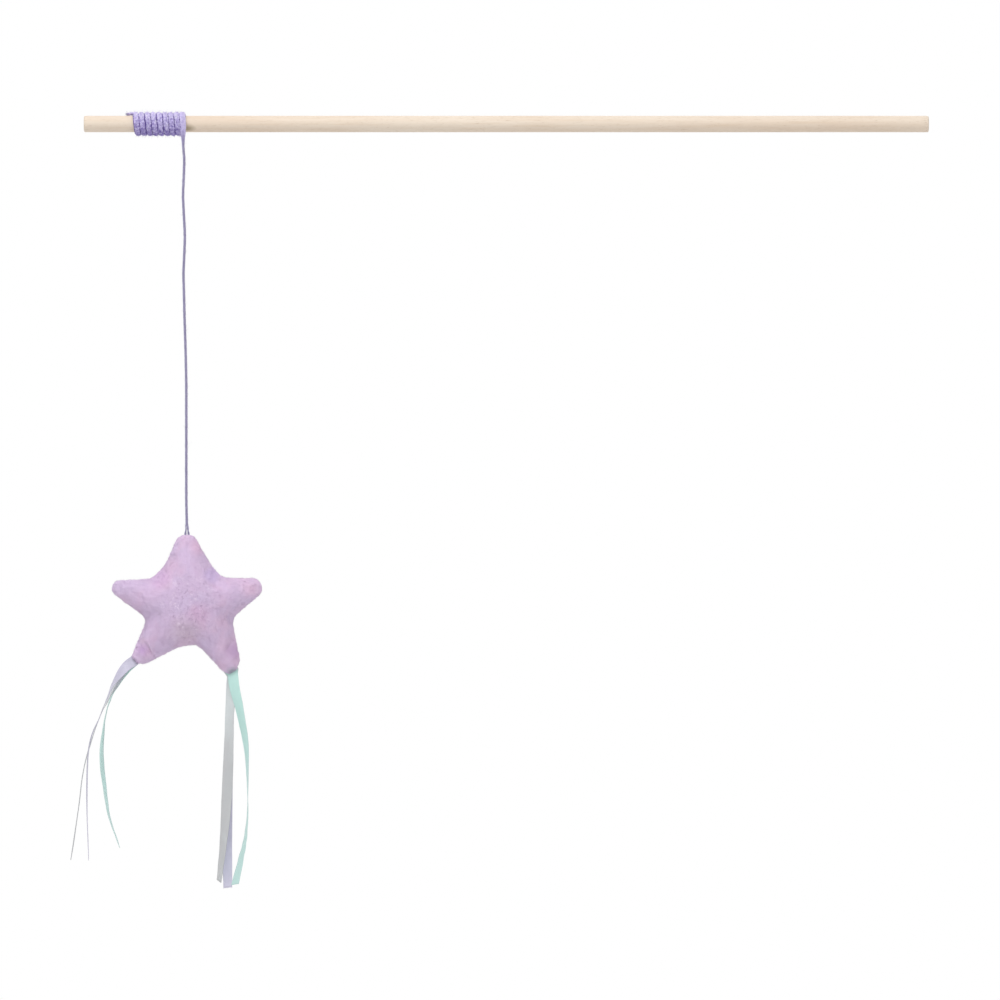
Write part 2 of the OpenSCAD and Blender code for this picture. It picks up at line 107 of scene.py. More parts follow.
def grain(points: Rows, rate: float, shift: Place = (0, 0, 0)) -> Rows:
    """Gives smooth random numbers from about -1 to 1 at points in space."""
    return np.array([noise.noise(Vector(p) * rate + Vector(shift)) for p in points])


def travel(line: Rows) -> Rows:
    """Gives the distance along a line at each of its points."""
    return np.concatenate([[0], np.cumsum(np.linalg.norm(np.diff(line, axis=0), axis=1))])


def bearings(line: Rows, out: Rows) -> tuple[Rows, Rows, Rows]:
    """Gives a line's direction and the two directions square to it.

    Args:
        line: the line's points.
        out: roughly the first square direction at each point.

    Returns:
        Directions along the line, outwards and sideways.
    """
    heading = unit(np.gradient(line, axis=0))
    high = unit(out - (out * heading).sum(1, keepdims=True) * heading)
    return heading, high, np.cross(heading, high)


# ---- Meshes ----


def new_piece(name: str, points: Rows, faces: list[list[int]]) -> Piece:
    """Makes a smooth mesh object.

    Args:
        name: the object's name.
        points: places in millimetres.
        faces: the corners of each face.

    Returns:
        The object, in metres and linked to the scene.
    """
    mesh = bpy.data.meshes.new(name)
    mesh.from_pydata((points * MM).tolist(), [], faces)
    piece = bpy.data.objects.new(name, mesh)
    smoothen(piece)
    bpy.context.scene.collection.objects.link(piece)
    return piece


def smoothen(piece: Piece) -> None:
    """Shades every face of a piece smooth."""
    piece.data.polygons.foreach_set("use_smooth", np.ones(len(piece.data.polygons), bool))
    piece.data.update()


def read(piece: Piece, what: str = "co") -> Rows:
    """Reads a mesh's points.

    Args:
        piece: the object.
        what: co for the places, normal for the normals.

    Returns:
        One row for each point.
    """
    rows = np.empty(len(piece.data.vertices) * 3)
    piece.data.vertices.foreach_get(what, rows)
    return rows.reshape(-1, 3)


def write(piece: Piece, rows: Rows) -> None:
    """Writes rows back as a mesh's points."""
    piece.data.vertices.foreach_set("co", rows.ravel())
    piece.data.update()


def only(*pieces: Piece) -> None:
    """Selects nothing but these pieces and makes the last one active.

    Args:
        pieces: the pieces to work on.
    """
    for other in bpy.context.selected_objects:
        other.select_set(False)
    for piece in pieces:
        piece.select_set(True)
        bpy.context.view_layer.objects.active = piece


def apply_modifier(piece: Piece, kind: str, **values: object) -> None:
    """Adds a modifier to a piece and applies it.

    Args:
        piece: the piece.
        kind: the modifier's type.
        values: its settings.
    """
    modifier = piece.modifiers.new(kind.title(), kind)
    for key, value in values.items():
        setattr(modifier, key, value)
    only(piece)
    bpy.ops.object.modifier_apply(modifier=modifier.name)


@dataclass
class MeshPot:
    """Collects swept surfaces, in millimetres, and turns them into one mesh object."""

    points: list[Rows] = field(default_factory=list)
    faces: list[list[int]] = field(default_factory=list)
    corners: list[tuple[float, float]] = field(default_factory=list)
    marks: list[Rows] = field(default_factory=list)
    count: int = 0

    def sweep(self, line: Rows, high: Rows, wide: Rows, section: Rows, mark: Rows | float = 0.0,
              along: Rows | None = None) -> None:
        """Sweeps a closed section along a line and closes both ends.

        Args:
            line: the centreline.
            high: the section's first direction at each point.
            wide: its second direction at each point.
            section: its corners at each point, as (first, second).
            mark: a number for each point that a finish may read.
            along: distance along the piece at each point.
        """
        n, m = section.shape[:2]
        ring = line[:, None] + high[:, None] * section[..., :1] + wide[:, None] * section[..., 1:]
        first, self.count = self.count, self.count + n * m
        self.points.append(ring.reshape(-1, 3))
        self.marks.append(np.repeat(np.broadcast_to(np.asarray(mark, float), (n,)), m))
        v = travel(line) if along is None else along
        for i in range(n - 1):
            for j in range(m):
                k, a, b = (j + 1) % m, first + i * m, first + (i + 1) * m
                self.faces.append([a + j, a + k, b + k, b + j])
                left, right = j / m, (j + 1) / m
                self.corners += [(left, v[i]), (right, v[i]), (right, v[i + 1]), (left, v[i + 1])]
        for start, order, at in ((first, range(m - 1, -1, -1), v[0]), (first + (n - 1) * m, range(m), v[-1])):
            self.faces.append([start + j for j in order])
            self.corners += [(j / m, at) for j in order]

    def tube(self, line: Rows, out: Rows, radius: Rows, sides: int, mark: Rows | float = 0.0,
             along: Rows | None = None) -> None:
        """Sweeps a round section of changing radius along a line.

        Args:
            line: the centreline.
            out: a direction at each point that the line never runs along.
            radius: the radius at each point.
            sides: corners of the section.
            mark: a number for each point that a finish may read.
            along: distance along the piece at each point.
        """
        _, high, wide = bearings(line, out)
        turn = np.linspace(0, FULL_TURN, sides, endpoint=False)
        circle = np.stack([np.cos(turn), np.sin(turn)], -1)
        self.sweep(line, high, wide, circle[None] * radius[:, None, None], mark, along)

    def fibre(self, points: Rows, radius: float, mark: float) -> None:
        """Adds one loose fibre with three sides that runs to a point."""
        across = unit(np.cross(unit(np.gradient(points, axis=0)), [0.31, 0.74, 0.59]))
        self.tube(points, across, radius * np.linspace(1, 0.25, len(points)), 3, mark)

    def finish(self, name: str) -> Piece:
        """Makes the mesh object with its corner map and its marks.

        Args:
            name: the object's name.

        Returns:
            The object.
        """
        piece = new_piece(name, np.concatenate(self.points), self.faces)
        uv = piece.data.uv_layers.new(name="UVMap")
        uv.data.foreach_set("uv", np.asarray(self.corners, np.float32).ravel())
        mark = piece.data.attributes.new("stretch", "FLOAT", "POINT")
        mark.data.foreach_set("value", np.concatenate(self.marks).astype(np.float32))
        return piece


# ---- Finishes ----


class Board:
    """A node board, with short calls for the nodes that the finishes use."""

    def __init__(self, name: str, surround: bool = False) -> None:
        """Starts a material, or the surround of the scene, with its usual shader.

        Args:
            name: its name.
            surround: whether the board is for the surround.
        """
        self.owner = bpy.data.worlds.new(name) if surround else bpy.data.materials.new(name)
        self.owner.use_nodes = True
        self.tree = self.owner.node_tree
        self.shader = self.tree.nodes.get("Principled BSDF")

    def set(self, node: bpy.types.Node, inputs: dict[str | int, object]) -> None:
        """Sets a node's inputs, with a link where the value is a socket.

        Args:
            node: the node.
            inputs: values or sockets for its inputs.
        """
        for key, value in inputs.items():
            if isinstance(value, Socket):
                self.tree.links.new(value, node.inputs[key])
            else:
                node.inputs[key].default_value = value

    def node(self, kind: str, inputs: dict[str | int, object] | None = None, **settings: object) -> bpy.types.Node:
        """Adds a node.

        Args:
            kind: the node's type, without its common prefix.
            inputs: values or sockets for its inputs.
            settings: its own settings.

        Returns:
            The node.
        """
        made = self.tree.nodes.new("ShaderNode" + kind)
        for key, value in settings.items():
            setattr(made, key, value)
        self.set(made, inputs or {})
        return made

    def place(self, x: float, y: float, z: float, source: str = "Object", turn: Place = (0, 0, 0)) -> Socket:
        """Gives the piece's own coordinates, scaled and turned in degrees for a pattern."""
        angles = tuple(math.radians(a) for a in turn)
        return self.node("Mapping", {"Vector": self.node("TexCoord").outputs[source], "Scale": (x, y, z),
                                     "Rotation": angles}).outputs[0]

    def noise(self, where: Socket, detail: float = 2.0, rough: float = 0.5, bend: float = 0.0,
              scale: float = 1.0) -> Socket:
        """Adds a noise pattern from 0 to 1 that may distort itself."""
        return self.node("TexNoise", {"Vector": where, "Scale": scale, "Detail": detail, "Roughness": rough,
                                      "Distortion": bend}).outputs[0]

    def spread(self, value: Socket, low: float, high: float, to_low: float = 0.0, to_high: float = 1.0) -> Socket:
        """Maps the range from low to high to another, held at its ends."""
        return self.node("MapRange", {"Value": value, "From Min": low, "From Max": high, "To Min": to_low,
                                      "To Max": to_high}).outputs[0]

    def mix(self, share: Socket | float, first: object, second: object) -> Socket:
        """Mixes a share of the second colour into the first."""
        return self.node("Mix", {0: share, 6: first, 7: second}, data_type="RGBA").outputs[2]

    def sum(self, first: Socket, second: Socket | float, how: str = "ADD") -> Socket:
        """Adds two values, or combines them in another way."""
        return self.node("Math", {0: first, 1: second}, operation=how).outputs[0]

    def times(self, first: Socket, second: Socket | float) -> Socket:
        """Multiplies two values."""
        return self.sum(first, second, "MULTIPLY")

    def away(self, where: Socket, x: float, y: float, z: float) -> Socket:
        """Gives the distance to a place, which is in millimetres."""
        return self.node("VectorMath", {0: where, 1: (x * MM, y * MM, z * MM)}, operation="DISTANCE").outputs["Value"]

    def seen(self) -> Socket:
        """Gives 1 where the camera, a reflection or glass sees the surface, else 0.

        Returns:
            The value.
        """
        rays = self.node("LightPath").outputs
        direct = self.sum(rays["Is Camera Ray"], rays["Is Glossy Ray"], "MAXIMUM")
        return self.sum(direct, rays["Is Transmission Ray"], "MAXIMUM")

    def finish(self, colour: Socket, rough: Socket | float, height: Socket, depth_mm: float,
               **sockets: object) -> Material:
        """Connects colour, roughness and relief to the shader and sets its own sockets.

        Args:
            colour: the base colour.
            rough: the roughness.
            height: the relief pattern.
            depth_mm: the height of the relief.
            sockets: constants for the shader, with _ for a space in a name.

        Returns:
            The finished material.
        """
        bump = self.node("Bump", {"Strength": 1.0, "Distance": depth_mm * MM, "Height": height})
        self.set(self.shader, {"Base Color": colour, "Roughness": rough, "Normal": bump.outputs[0]})
        self.set(self.shader, {key.replace("_", " "): value for key, value in sockets.items()})
        return self.owner


@dataclass(frozen=True)
class WoodFinish:
    """Bare sanded beech: faint long streaks, short pores, a painted shadow beside the winding and a satin surface."""

    name: str = "beech"
    light: Colour = rgb(231, 217, 200)
    warm: Colour = rgb(223, 203, 183)
    streak: Colour = rgb(216, 193, 168)
    pore: Colour = rgb(188, 160, 130)
    # Colour, middle in millimetres and squash of a painted shadow: the shade that the winding's last turn casts on
    # the dowel.
    painted_shadow: Colour = rgb(158, 142, 112)
    painted_shadow_at: Place = (-291.0, -3.4, -2.5)
    painted_shadow_squash: float = 0.6
    relief: float = 0.035

    def build(self) -> Material:
        """Makes the material for the round side.

        Returns:
            The material.
        """
        board = Board(self.name)
        broad = board.noise(board.place(9, 70, 70), 3.0, 0.5, 0.4)
        fine = board.noise(board.place(34, 900, 900), 4.0, 0.6, 0.2)
        lines = board.noise(board.place(120, 3800, 3800))
        pores = board.spread(board.noise(board.place(420, 5200, 5200), 1.0, 0.4), 0.66, 0.74)
        colour = board.mix(board.spread(broad, 0.35, 0.7), self.light, self.warm)
        colour = board.mix(board.spread(fine, 0.48, 0.78, 0.0, 0.55), colour, self.streak)
        colour = board.mix(board.spread(lines, 0.5, 0.85, 0.0, 0.3), colour, self.streak)
        colour = board.mix(board.times(pores, 0.45), colour, self.pore)
        # Painted shadow: a soft brown patch on the dowel just beside the winding's last turn.
        x, y, z = self.painted_shadow_at
        far = board.away(board.place(self.painted_shadow_squash, 1, 1), x * self.painted_shadow_squash, y, z)
        mark = board.spread(board.sum(far, board.times(fine, 0.0012)), 0.0013, 0.0034, 0.8, 0.0)
        colour = board.mix(mark, colour, self.painted_shadow)
        height = board.sum(board.sum(lines, board.times(fine, 0.6)), pores, "SUBTRACT")
        rough = board.spread(fine, 0.3, 0.8, 0.5, 0.66)
        return board.finish(colour, rough, height, self.relief, Specular_IOR_Level=0.5)

    def build_ends(self) -> Material:
        """Makes the material for the sawn ends, where the growth rings show.

        Returns:
            The material.
        """
        board = Board(self.name + "_end_grain")
        shifted = board.node("Mapping", {"Vector": board.node("TexCoord").outputs["Object"],
                                         "Location": (0, 0.011, 0.007)}).outputs[0]
        waves = board.node("TexWave", {"Vector": shifted, "Scale": 260.0, "Distortion": 1.2, "Detail": 2.0,
                                       "Detail Scale": 40.0}, wave_type="RINGS", rings_direction="X").outputs[1]
        specks = board.noise(board.place(1, 5200, 5200), 2.0, 0.6)
        colour = board.mix(board.spread(waves, 0.3, 0.9, 0.0, 0.7), self.warm, self.streak)
        colour = board.mix(board.spread(specks, 0.55, 0.75, 0.0, 0.5), colour, self.pore)
        return board.finish(colour, 0.8, board.sum(waves, specks), 0.05, Specular_IOR_Level=0.2)


@dataclass(frozen=True)
class YarnFinish:
    """Soft spun yarn: fine fibres along each strand, painted light on top, painted shade below, painted glints, and
    duller where it is stretched.
    """

    name: str = "lavender_yarn"
    light: Colour = rgb(228, 218, 253)
    deep: Colour = rgb(133, 112, 193)
    # Colour of the painted glints, pale highlights on the twisted plies.
    painted_glint: Colour = rgb(246, 243, 255)
    # Painted shade in the gaps between the turns, worn by the heart.
    groove: Colour = rgb(104, 84, 160)
    combed: Colour = rgb(222, 212, 248)
    stretched: Colour = rgb(178, 172, 203)
    stretched_deep: Colour = rgb(148, 142, 178)
    last_turn: Span = (-295.6, -293.6)
    # Half the height over which the painted light on top turns into painted shade below.
    half_high: float = 5.5

    def build(self) -> Material:
        """Makes the material.

        Returns:
            The material.
        """
        board = Board(self.name)
        fibres = board.noise(board.place(26, 1.1, 1, "UV"), 4.0, 0.65, 0.3)
        patches = board.noise(board.place(900, 900, 900), 2.0, 0.6)
        painted_glints = board.spread(board.noise(board.place(1.5, 0.75, 1, "UV"), 1.0), 0.57, 0.64)
        stretch = board.node("Attribute", attribute_name="stretch").outputs["Fac"]
        spots = board.node("SeparateXYZ", {0: board.node("TexCoord").outputs["Object"]})
        # Painted light and shade: the loose yarn is lighter towards the top of the winding and darker towards its
        # bottom.
        lift = board.spread(spots.outputs[2], -self.half_high * MM, self.half_high * MM, -0.3, 0.32)
        shade = board.spread(board.sum(fibres, board.times(patches, 1.4)), 0.95, 1.45)
        lit = board.sum(board.sum(shade, lift), 0.0, "MAXIMUM")
        loose = board.mix(lit, self.deep, self.light)
        # Painted highlights: pale glints on the plies, more of them towards the top with the painted light.
        loose = board.mix(board.times(painted_glints, board.spread(lift, -0.3, 0.2, 0.3, 0.85)), loose, self.painted_glint)
        smooth = board.spread(spots.outputs[0], self.last_turn[0] * MM, self.last_turn[1] * MM, 0.0, 0.6)
        loose = board.mix(smooth, loose, self.combed)
        colour = board.mix(stretch, loose, board.mix(shade, self.stretched_deep, self.stretched))
        # Painted shade: the heart, marked -1, shows dark in the gaps between the turns.
        colour = board.mix(board.times(stretch, -1.0), colour, self.groove)
        height = board.sum(fibres, board.times(patches, 0.5))
        return board.finish(colour, 0.92, height, 0.16, Specular_IOR_Level=0.15, Sheen_Weight=0.25,
                            Sheen_Roughness=0.5)


@dataclass(frozen=True)
class Spot:
    """A soft patch of another shade on the plush, seen from the front; some are painted shadows."""

    x: float
    z: float
    reach: float
    share: float
    tone: Colour


@dataclass(frozen=True)
class PlushFinish:
    """Short plush pile: soft mottled shades, small crushed marks down the middle and a sheen at the rims."""

    name: str = "lavender_plush"
    base: Colour = rgb(220, 196, 226)
    cool: Colour = rgb(216, 196, 226)
    pink: Colour = rgb(225, 195, 222)
    crushed: Colour = rgb(196, 168, 203)
    raised: Colour = rgb(236, 219, 239)
    # The marks are strongest round this x and z. Heights count less by the third number, so the patch is tall.
    band: Numbers = (-290.0, -228.0, 0.6)
    # The last two spots, at the tips of the right and the left leg, are painted shadows under the edges of the seam's
    # mouths; the others are tones of the plush.
    spots: tuple[Spot, ...] = (
        Spot(-286.5, -200.5, 5.5, 0.8, rgb(228, 194, 222)), Spot(-303.0, -214.5, 7.0, 0.8, rgb(222, 188, 226)),
        Spot(-279.5, -213.5, 4.5, 0.7, rgb(208, 188, 228)), Spot(-260.5, -220.0, 7.0, 0.7, rgb(234, 200, 226)),
        Spot(-285.0, -231.5, 9.0, 0.7, rgb(212, 178, 210)), Spot(-312.0, -249.0, 4.5, 0.8, rgb(210, 176, 222)),
        Spot(-292.0, -241.0, 11.0, 0.7, rgb(213, 193, 211)), Spot(-268.5, -249.0, 6.0, 0.8, rgb(199, 168, 206)),
        Spot(-269.6, -260.0, 3.6, 0.9, rgb(158, 164, 174)), Spot(-316.3, -254.4, 2.6, 0.9, rgb(140, 134, 152)))

    def build(self) -> Material:
        """Makes the material.

        Returns:
            The material.
        """
        board = Board(self.name)
        place = board.place(1, 1, 1)
        large = board.noise(place, 2.0, 0.5, 0.4, 60.0)
        other = board.noise(board.place(1, 1, 1, turn=(37, 12, 64)), 2.0, 0.5, 0.4, 80.0)
        marks = board.noise(place, 2.0, 0.5, 1.6, 520.0)
        pile = board.noise(place, 3.0, 0.7, 0.0, 2600.0)
        clumps = board.noise(place, 2.0, 0.6, 0.3, 700.0)
        colour = board.mix(board.spread(large, 0.38, 0.62), self.base, self.cool)
        colour = board.mix(board.spread(other, 0.48, 0.68, 0.0, 0.7), colour, self.pink)
        flat = board.place(1, 0, 1)
        # Patches of tone, and at the leg tips the painted shadows of the seam's mouths.
        for spot in self.spots:
            ragged = board.sum(board.away(flat, spot.x, 0, spot.z), board.times(board.sum(large, -0.5), 0.008))
            near = board.node("MapRange", {"Value": ragged, "From Min": spot.reach * MM, "From Max": 0.0,
                                           "To Max": spot.share}, interpolation_type="SMOOTHSTEP").outputs[0]
            colour = board.mix(near, colour, spot.tone)
        x, z, squash = self.band
        where = board.spread(board.away(board.place(1, 0, squash), x, 0, z * squash), 0.015, 0.004, 0.12, 1.0)
        dark = board.times(board.spread(marks, 0.60, 0.70), where)
        pale = board.times(board.spread(marks, 0.40, 0.31), where)
        colour = board.mix(board.times(dark, 0.7), colour, self.crushed)
        colour = board.mix(board.times(pale, 0.8), colour, self.raised)
        colour = board.mix(board.spread(clumps, 0.52, 0.8, 0.0, 0.2), colour, self.crushed)
        height = board.sum(board.sum(pile, board.times(clumps, 0.5)), dark, "SUBTRACT")
        return board.finish(colour, 0.95, height, 0.12, Specular_IOR_Level=0.1, Sheen_Weight=0.35,
                            Sheen_Roughness=0.4)


@dataclass(frozen=True)
class SatinFinish:
    """Satin ribbon: fine lengthwise warp, faint weft, painted shade along its edges, painted light and shade along
    its length and a soft directed gloss.
    """

    name: str
    base: Colour
    # shade: the colour painted along the length, painted shade on the white and painted light on the lavender and
    # mint; fade: where it comes in, in millimetres along the tail.
    shade: Colour
    fade: Span
    # Colour of the painted shade on the edges.
    painted_edge_shade: Colour = rgb(150, 150, 158)

    def build(self) -> Material:
        """Makes the material.

        Returns:
            The material.
        """
        board = Board(self.name)
        warp = board.noise(board.place(150, 0.25, 1, "UV"))
        weft = board.noise(board.place(4, 5.5, 1, "UV"), 1.0, 0.4)
        slow = board.noise(board.place(2.0, 0.06, 1, "UV"))
        around, along = board.node("SeparateXYZ", {0: board.node("TexCoord").outputs["UV"]}).outputs[:2]
        # Painted light and shade along the length: over the fade span the colour moves from base to shade.
        fall = board.sum(board.spread(along, *self.fade), board.spread(slow, 0.35, 0.7, -0.2, 0.3))
        colour = board.mix(fall, self.base, self.shade)
        colour = board.mix(board.spread(warp, 0.35, 0.8, 0.0, 0.28), colour, self.shade)
        # Painted shade on both edges, which stands in for the shade of the ribbon where it turns edge-on.
        edge = board.sum(board.times(around, 2.0), 1.0, "MODULO")
        colour = board.mix(board.spread(edge, 0.86, 0.93, 0.0, 0.75), colour, self.painted_edge_shade)
        height = board.sum(warp, board.times(weft, 0.5))
        rough = board.spread(warp, 0.3, 0.7, 0.36, 0.5)
        return board.finish(colour, rough, height, 0.012, Specular_IOR_Level=0.5, Anisotropic=0.5,
                            Sheen_Weight=0.2, Sheen_Roughness=0.3)


@dataclass(frozen=True)
class PlainFibreFinish:
    """A plain fibre surface for thread, filling and glue, with its own fine relief."""

    name: str
    light: Colour
    dark: Colour
    scale: float
    roughness: float
    depth_mm: float

    def build(self) -> Material:
        """Makes the material.

        Returns:
            The material.
        """
        board = Board(self.name)
        fine = board.noise(board.place(1, 1, 1), 4.0, 0.65, 0.8, self.scale)
        broad = board.noise(board.place(1, 1, 1), scale=self.scale / 8)
        colour = board.mix(board.spread(board.sum(fine, broad), 0.8, 1.25), self.dark, self.light)
        return board.finish(colour, self.roughness, fine, self.depth_mm, Specular_IOR_Level=0.3)


class Colourway(Enum):
    """The three ribbon colours."""

    # The second colour of each is painted along the tail: painted shade on the white, painted light on the lavender
    # and the mint.
    LAVENDER = SatinFinish("lavender_satin", rgb(190, 187, 206), rgb(224, 219, 240), (46.0, 102.0))
    WHITE = SatinFinish("white_satin", rgb(216, 223, 224), rgb(192, 193, 195), (14.0, 50.0))
    MINT = SatinFinish("mint_satin", rgb(187, 224, 217), rgb(206, 240, 235), (15.0, 90.0))


YARN = YarnFinish()
PLUSH = PlushFinish()
THREAD = PlainFibreFinish("lilac_thread", rgb(176, 158, 184), rgb(142, 124, 152), 6000.0, 0.7, 0.03)
FILLING = PlainFibreFinish("fibre_filling", rgb(244, 244, 242), rgb(222, 222, 220), 900.0, 0.95, 0.3)
GLUE = PlainFibreFinish("dried_glue", rgb(226, 214, 200), rgb(214, 198, 180), 700.0, 0.25, 0.02)


@functools.cache
def material_of(finish: object) -> Material:
    """Builds a finish's material the first time it is asked for."""
    return finish.build()


def dress(piece: Piece, finish: object) -> None:
    """Gives a piece one finish all over.

    Args:
        piece: the piece.
        finish: its finish.
    """
    piece.data.materials.clear()
    piece.data.materials.append(material_of(finish))
    LOG.info("%s dressed in %s", piece.name, finish.name)


# ---- Studio ----


@dataclass
class Studio:
    """The camera, the lamps, the white surround and the pale floor."""

    middle: Place = (-143.0, 0.0, -178.1)
    view_width: float = 473.65
    distance: float = 4000.0
    sensor: float = 36.0
    floor_z: float = -600.0
    floor_radius: float = 1.6
    ambient: float = 0.64
    # Name, place in millimetres from the middle of the view, side in metres, power in watts.
    lamps: tuple[tuple[str, Place, float, float], ...] = (
        ("key_lamp", (-500.0, -900.0, 1500.0), 1.3, 17.5), ("fill_lamp", (900.0, -1500.0, 100.0), 1.4, 2.2),
        ("back_lamp", (300.0, 1500.0, 700.0), 1.4, 7.0))

    def build(self) -> None:
        """Makes everything that isn't part of the object."""
        self.add_camera()
        surround = Board("surround", surround=True)
        bpy.context.scene.world = surround.owner
        strength = surround.spread(surround.seen(), 0.0, 1.0, self.ambient, 1.0)
        surround.set(surround.tree.nodes["Background"], {"Color": (1, 1, 1, 1), "Strength": strength})
        self.add_floor()
        for lamp in self.lamps:
            self.add_lamp(*lamp)
        bpy.context.scene.view_settings.view_transform = "Standard"

    def add_camera(self) -> None:
        """Places a long lens level with the middle of the picture."""
        data = bpy.data.cameras.new("photo_camera")
        data.sensor_width = self.sensor
        data.lens = self.sensor * self.distance / self.view_width
        data.clip_end = 30.0
        camera = bpy.data.objects.new("photo_camera", data)
        camera.location = Vector(self.middle) * MM + Vector((0, -self.distance * MM, 0))
        camera.rotation_euler = (math.radians(90), 0, 0)
        bpy.context.scene.collection.objects.link(camera)
        bpy.context.scene.camera = camera

    def add_floor(self) -> None:
        """Makes a round pale floor that keeps a shadow near its middle and turns white at its rim."""
        only()
        bpy.ops.mesh.primitive_circle_add(vertices=96, radius=self.floor_radius, fill_type="NGON",
                                          location=(self.middle[0] * MM, 0, self.floor_z * MM))
        floor = bpy.context.active_object
        floor.name = "floor"
        board = Board("pale_floor")
        far = board.away(board.node("TexCoord").outputs["Object"], 0, 0, 0)
        white = board.times(board.seen(), board.spread(far, 0.35, 0.9, 0.6, 1.0))
        board.set(board.shader, {"Base Color": (0.82, 0.82, 0.82, 1), "Roughness": 0.9})
        glow = board.node("Emission", {"Color": (1, 1, 1, 1), "Strength": 1.2})
        both = board.node("MixShader", {0: white, 1: board.shader.outputs[0], 2: glow.outputs[0]})
        board.set(board.tree.nodes["Material Output"], {"Surface": both.outputs[0]})
        floor.data.materials.append(board.owner)

    def add_lamp(self, name: str, place: Place, size: float, watts: float) -> None:
        """Adds a large soft lamp that faces the middle of the object.

        Args:
            name: the lamp's name.
            place: where it stands, in millimetres from the middle of the view.
            size: its side, in metres.
            watts: its power.
        """
        data = bpy.data.lights.new(name, "AREA")
        data.size, data.energy = size, watts
        lamp = bpy.data.objects.new(name, data)
        lamp.location = (Vector(self.middle) + Vector(place)) * MM
        lamp.rotation_euler = (-Vector(place)).to_track_quat("-Z", "Y").to_euler()
        bpy.context.scene.collection.objects.link(lamp)


# ---- Dowel ----


@dataclass
class Dowel:
    """The wooden dowel, with softened ends and a faint waver in its turned side."""

    radius: float = 3.9
    tip_x: float = -340.0
    handle_x: float = 60.0
    chamfer: float = 0.6
    end_insets: Numbers = (0.55, 0.9, 1.1)
    rings: int = 160
    sides: int = 64
    waver: float = 0.02
    nick: float = 0.16
    nick_reach: float = 1.2

    def build(self) -> None:
        """Models the dowel and dresses it."""
        only()
        length = self.handle_x - self.tip_x
        bpy.ops.mesh.primitive_cylinder_add(
            vertices=self.sides, radius=self.radius * MM, depth=length * MM,
            location=((self.tip_x + length / 2) * MM, 0, 0), rotation=(0, math.radians(90), 0))
        piece = bpy.context.active_object
        piece.name = "dowel_wood"
        bpy.ops.object.transform_apply(location=True, rotation=True, scale=True)
        bpy.ops.object.mode_set(mode="EDIT")
        bpy.ops.mesh.select_all(action="DESELECT")
        mesh = bmesh.from_edit_mesh(piece.data)
        for edge in mesh.edges:
            edge.select_set(abs(edge.verts[0].co.x - edge.verts[1].co.x) < MM * 0.01)
        bmesh.update_edit_mesh(piece.data)
        bpy.ops.mesh.bevel(offset=self.chamfer * MM, segments=5, profile=0.45)
        for n in range(1, self.rings):
            bpy.ops.mesh.select_all(action="SELECT")
            bpy.ops.mesh.bisect(plane_co=((self.tip_x + length * n / self.rings) * MM, 0, 0), plane_no=(1, 0, 0))
        mesh = bmesh.from_edit_mesh(piece.data)
        for face in mesh.faces:
            face.select_set(len(face.verts) > 4)
        bmesh.update_edit_mesh(piece.data)
        for inset in self.end_insets:
            bpy.ops.mesh.inset(thickness=inset * MM)
        bpy.ops.object.mode_set(mode="OBJECT")
        self.wear(piece)
        wood = WoodFinish()
        piece.data.materials.append(wood.build())
        piece.data.materials.append(wood.build_ends())
        for face in piece.data.polygons:
            face.material_index = int(abs(face.normal.x) > 0.8)
        only(piece)
        bpy.ops.object.shade_smooth_by_angle(angle=math.radians(40))
        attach(piece, "root")
        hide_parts("dowel")

    def wear(self, piece: Piece) -> None:
        """Gives the side a slight waver, and the rims small nicks from the saw.

        Args:
            piece: the dowel.
        """
        for vertex in piece.data.vertices:
            x, y, z = vertex.co
            radius = math.hypot(y, z)
            if radius < MM * 0.1:
                continue
            waver = self.waver * noise.noise(Vector((x * 45, y * 260, z * 260)))
            rim = max(0.0, 1 - min(x - self.tip_x * MM, self.handle_x * MM - x) / (self.nick_reach * MM))
            nick = self.nick * rim * max(0.0, noise.noise(Vector((x * 900, y * 900, z * 900))))
            scale = 1 + (waver - nick) * MM / radius
            vertex.co.y, vertex.co.z = y * scale, z * scale


# ---- Yarn ----


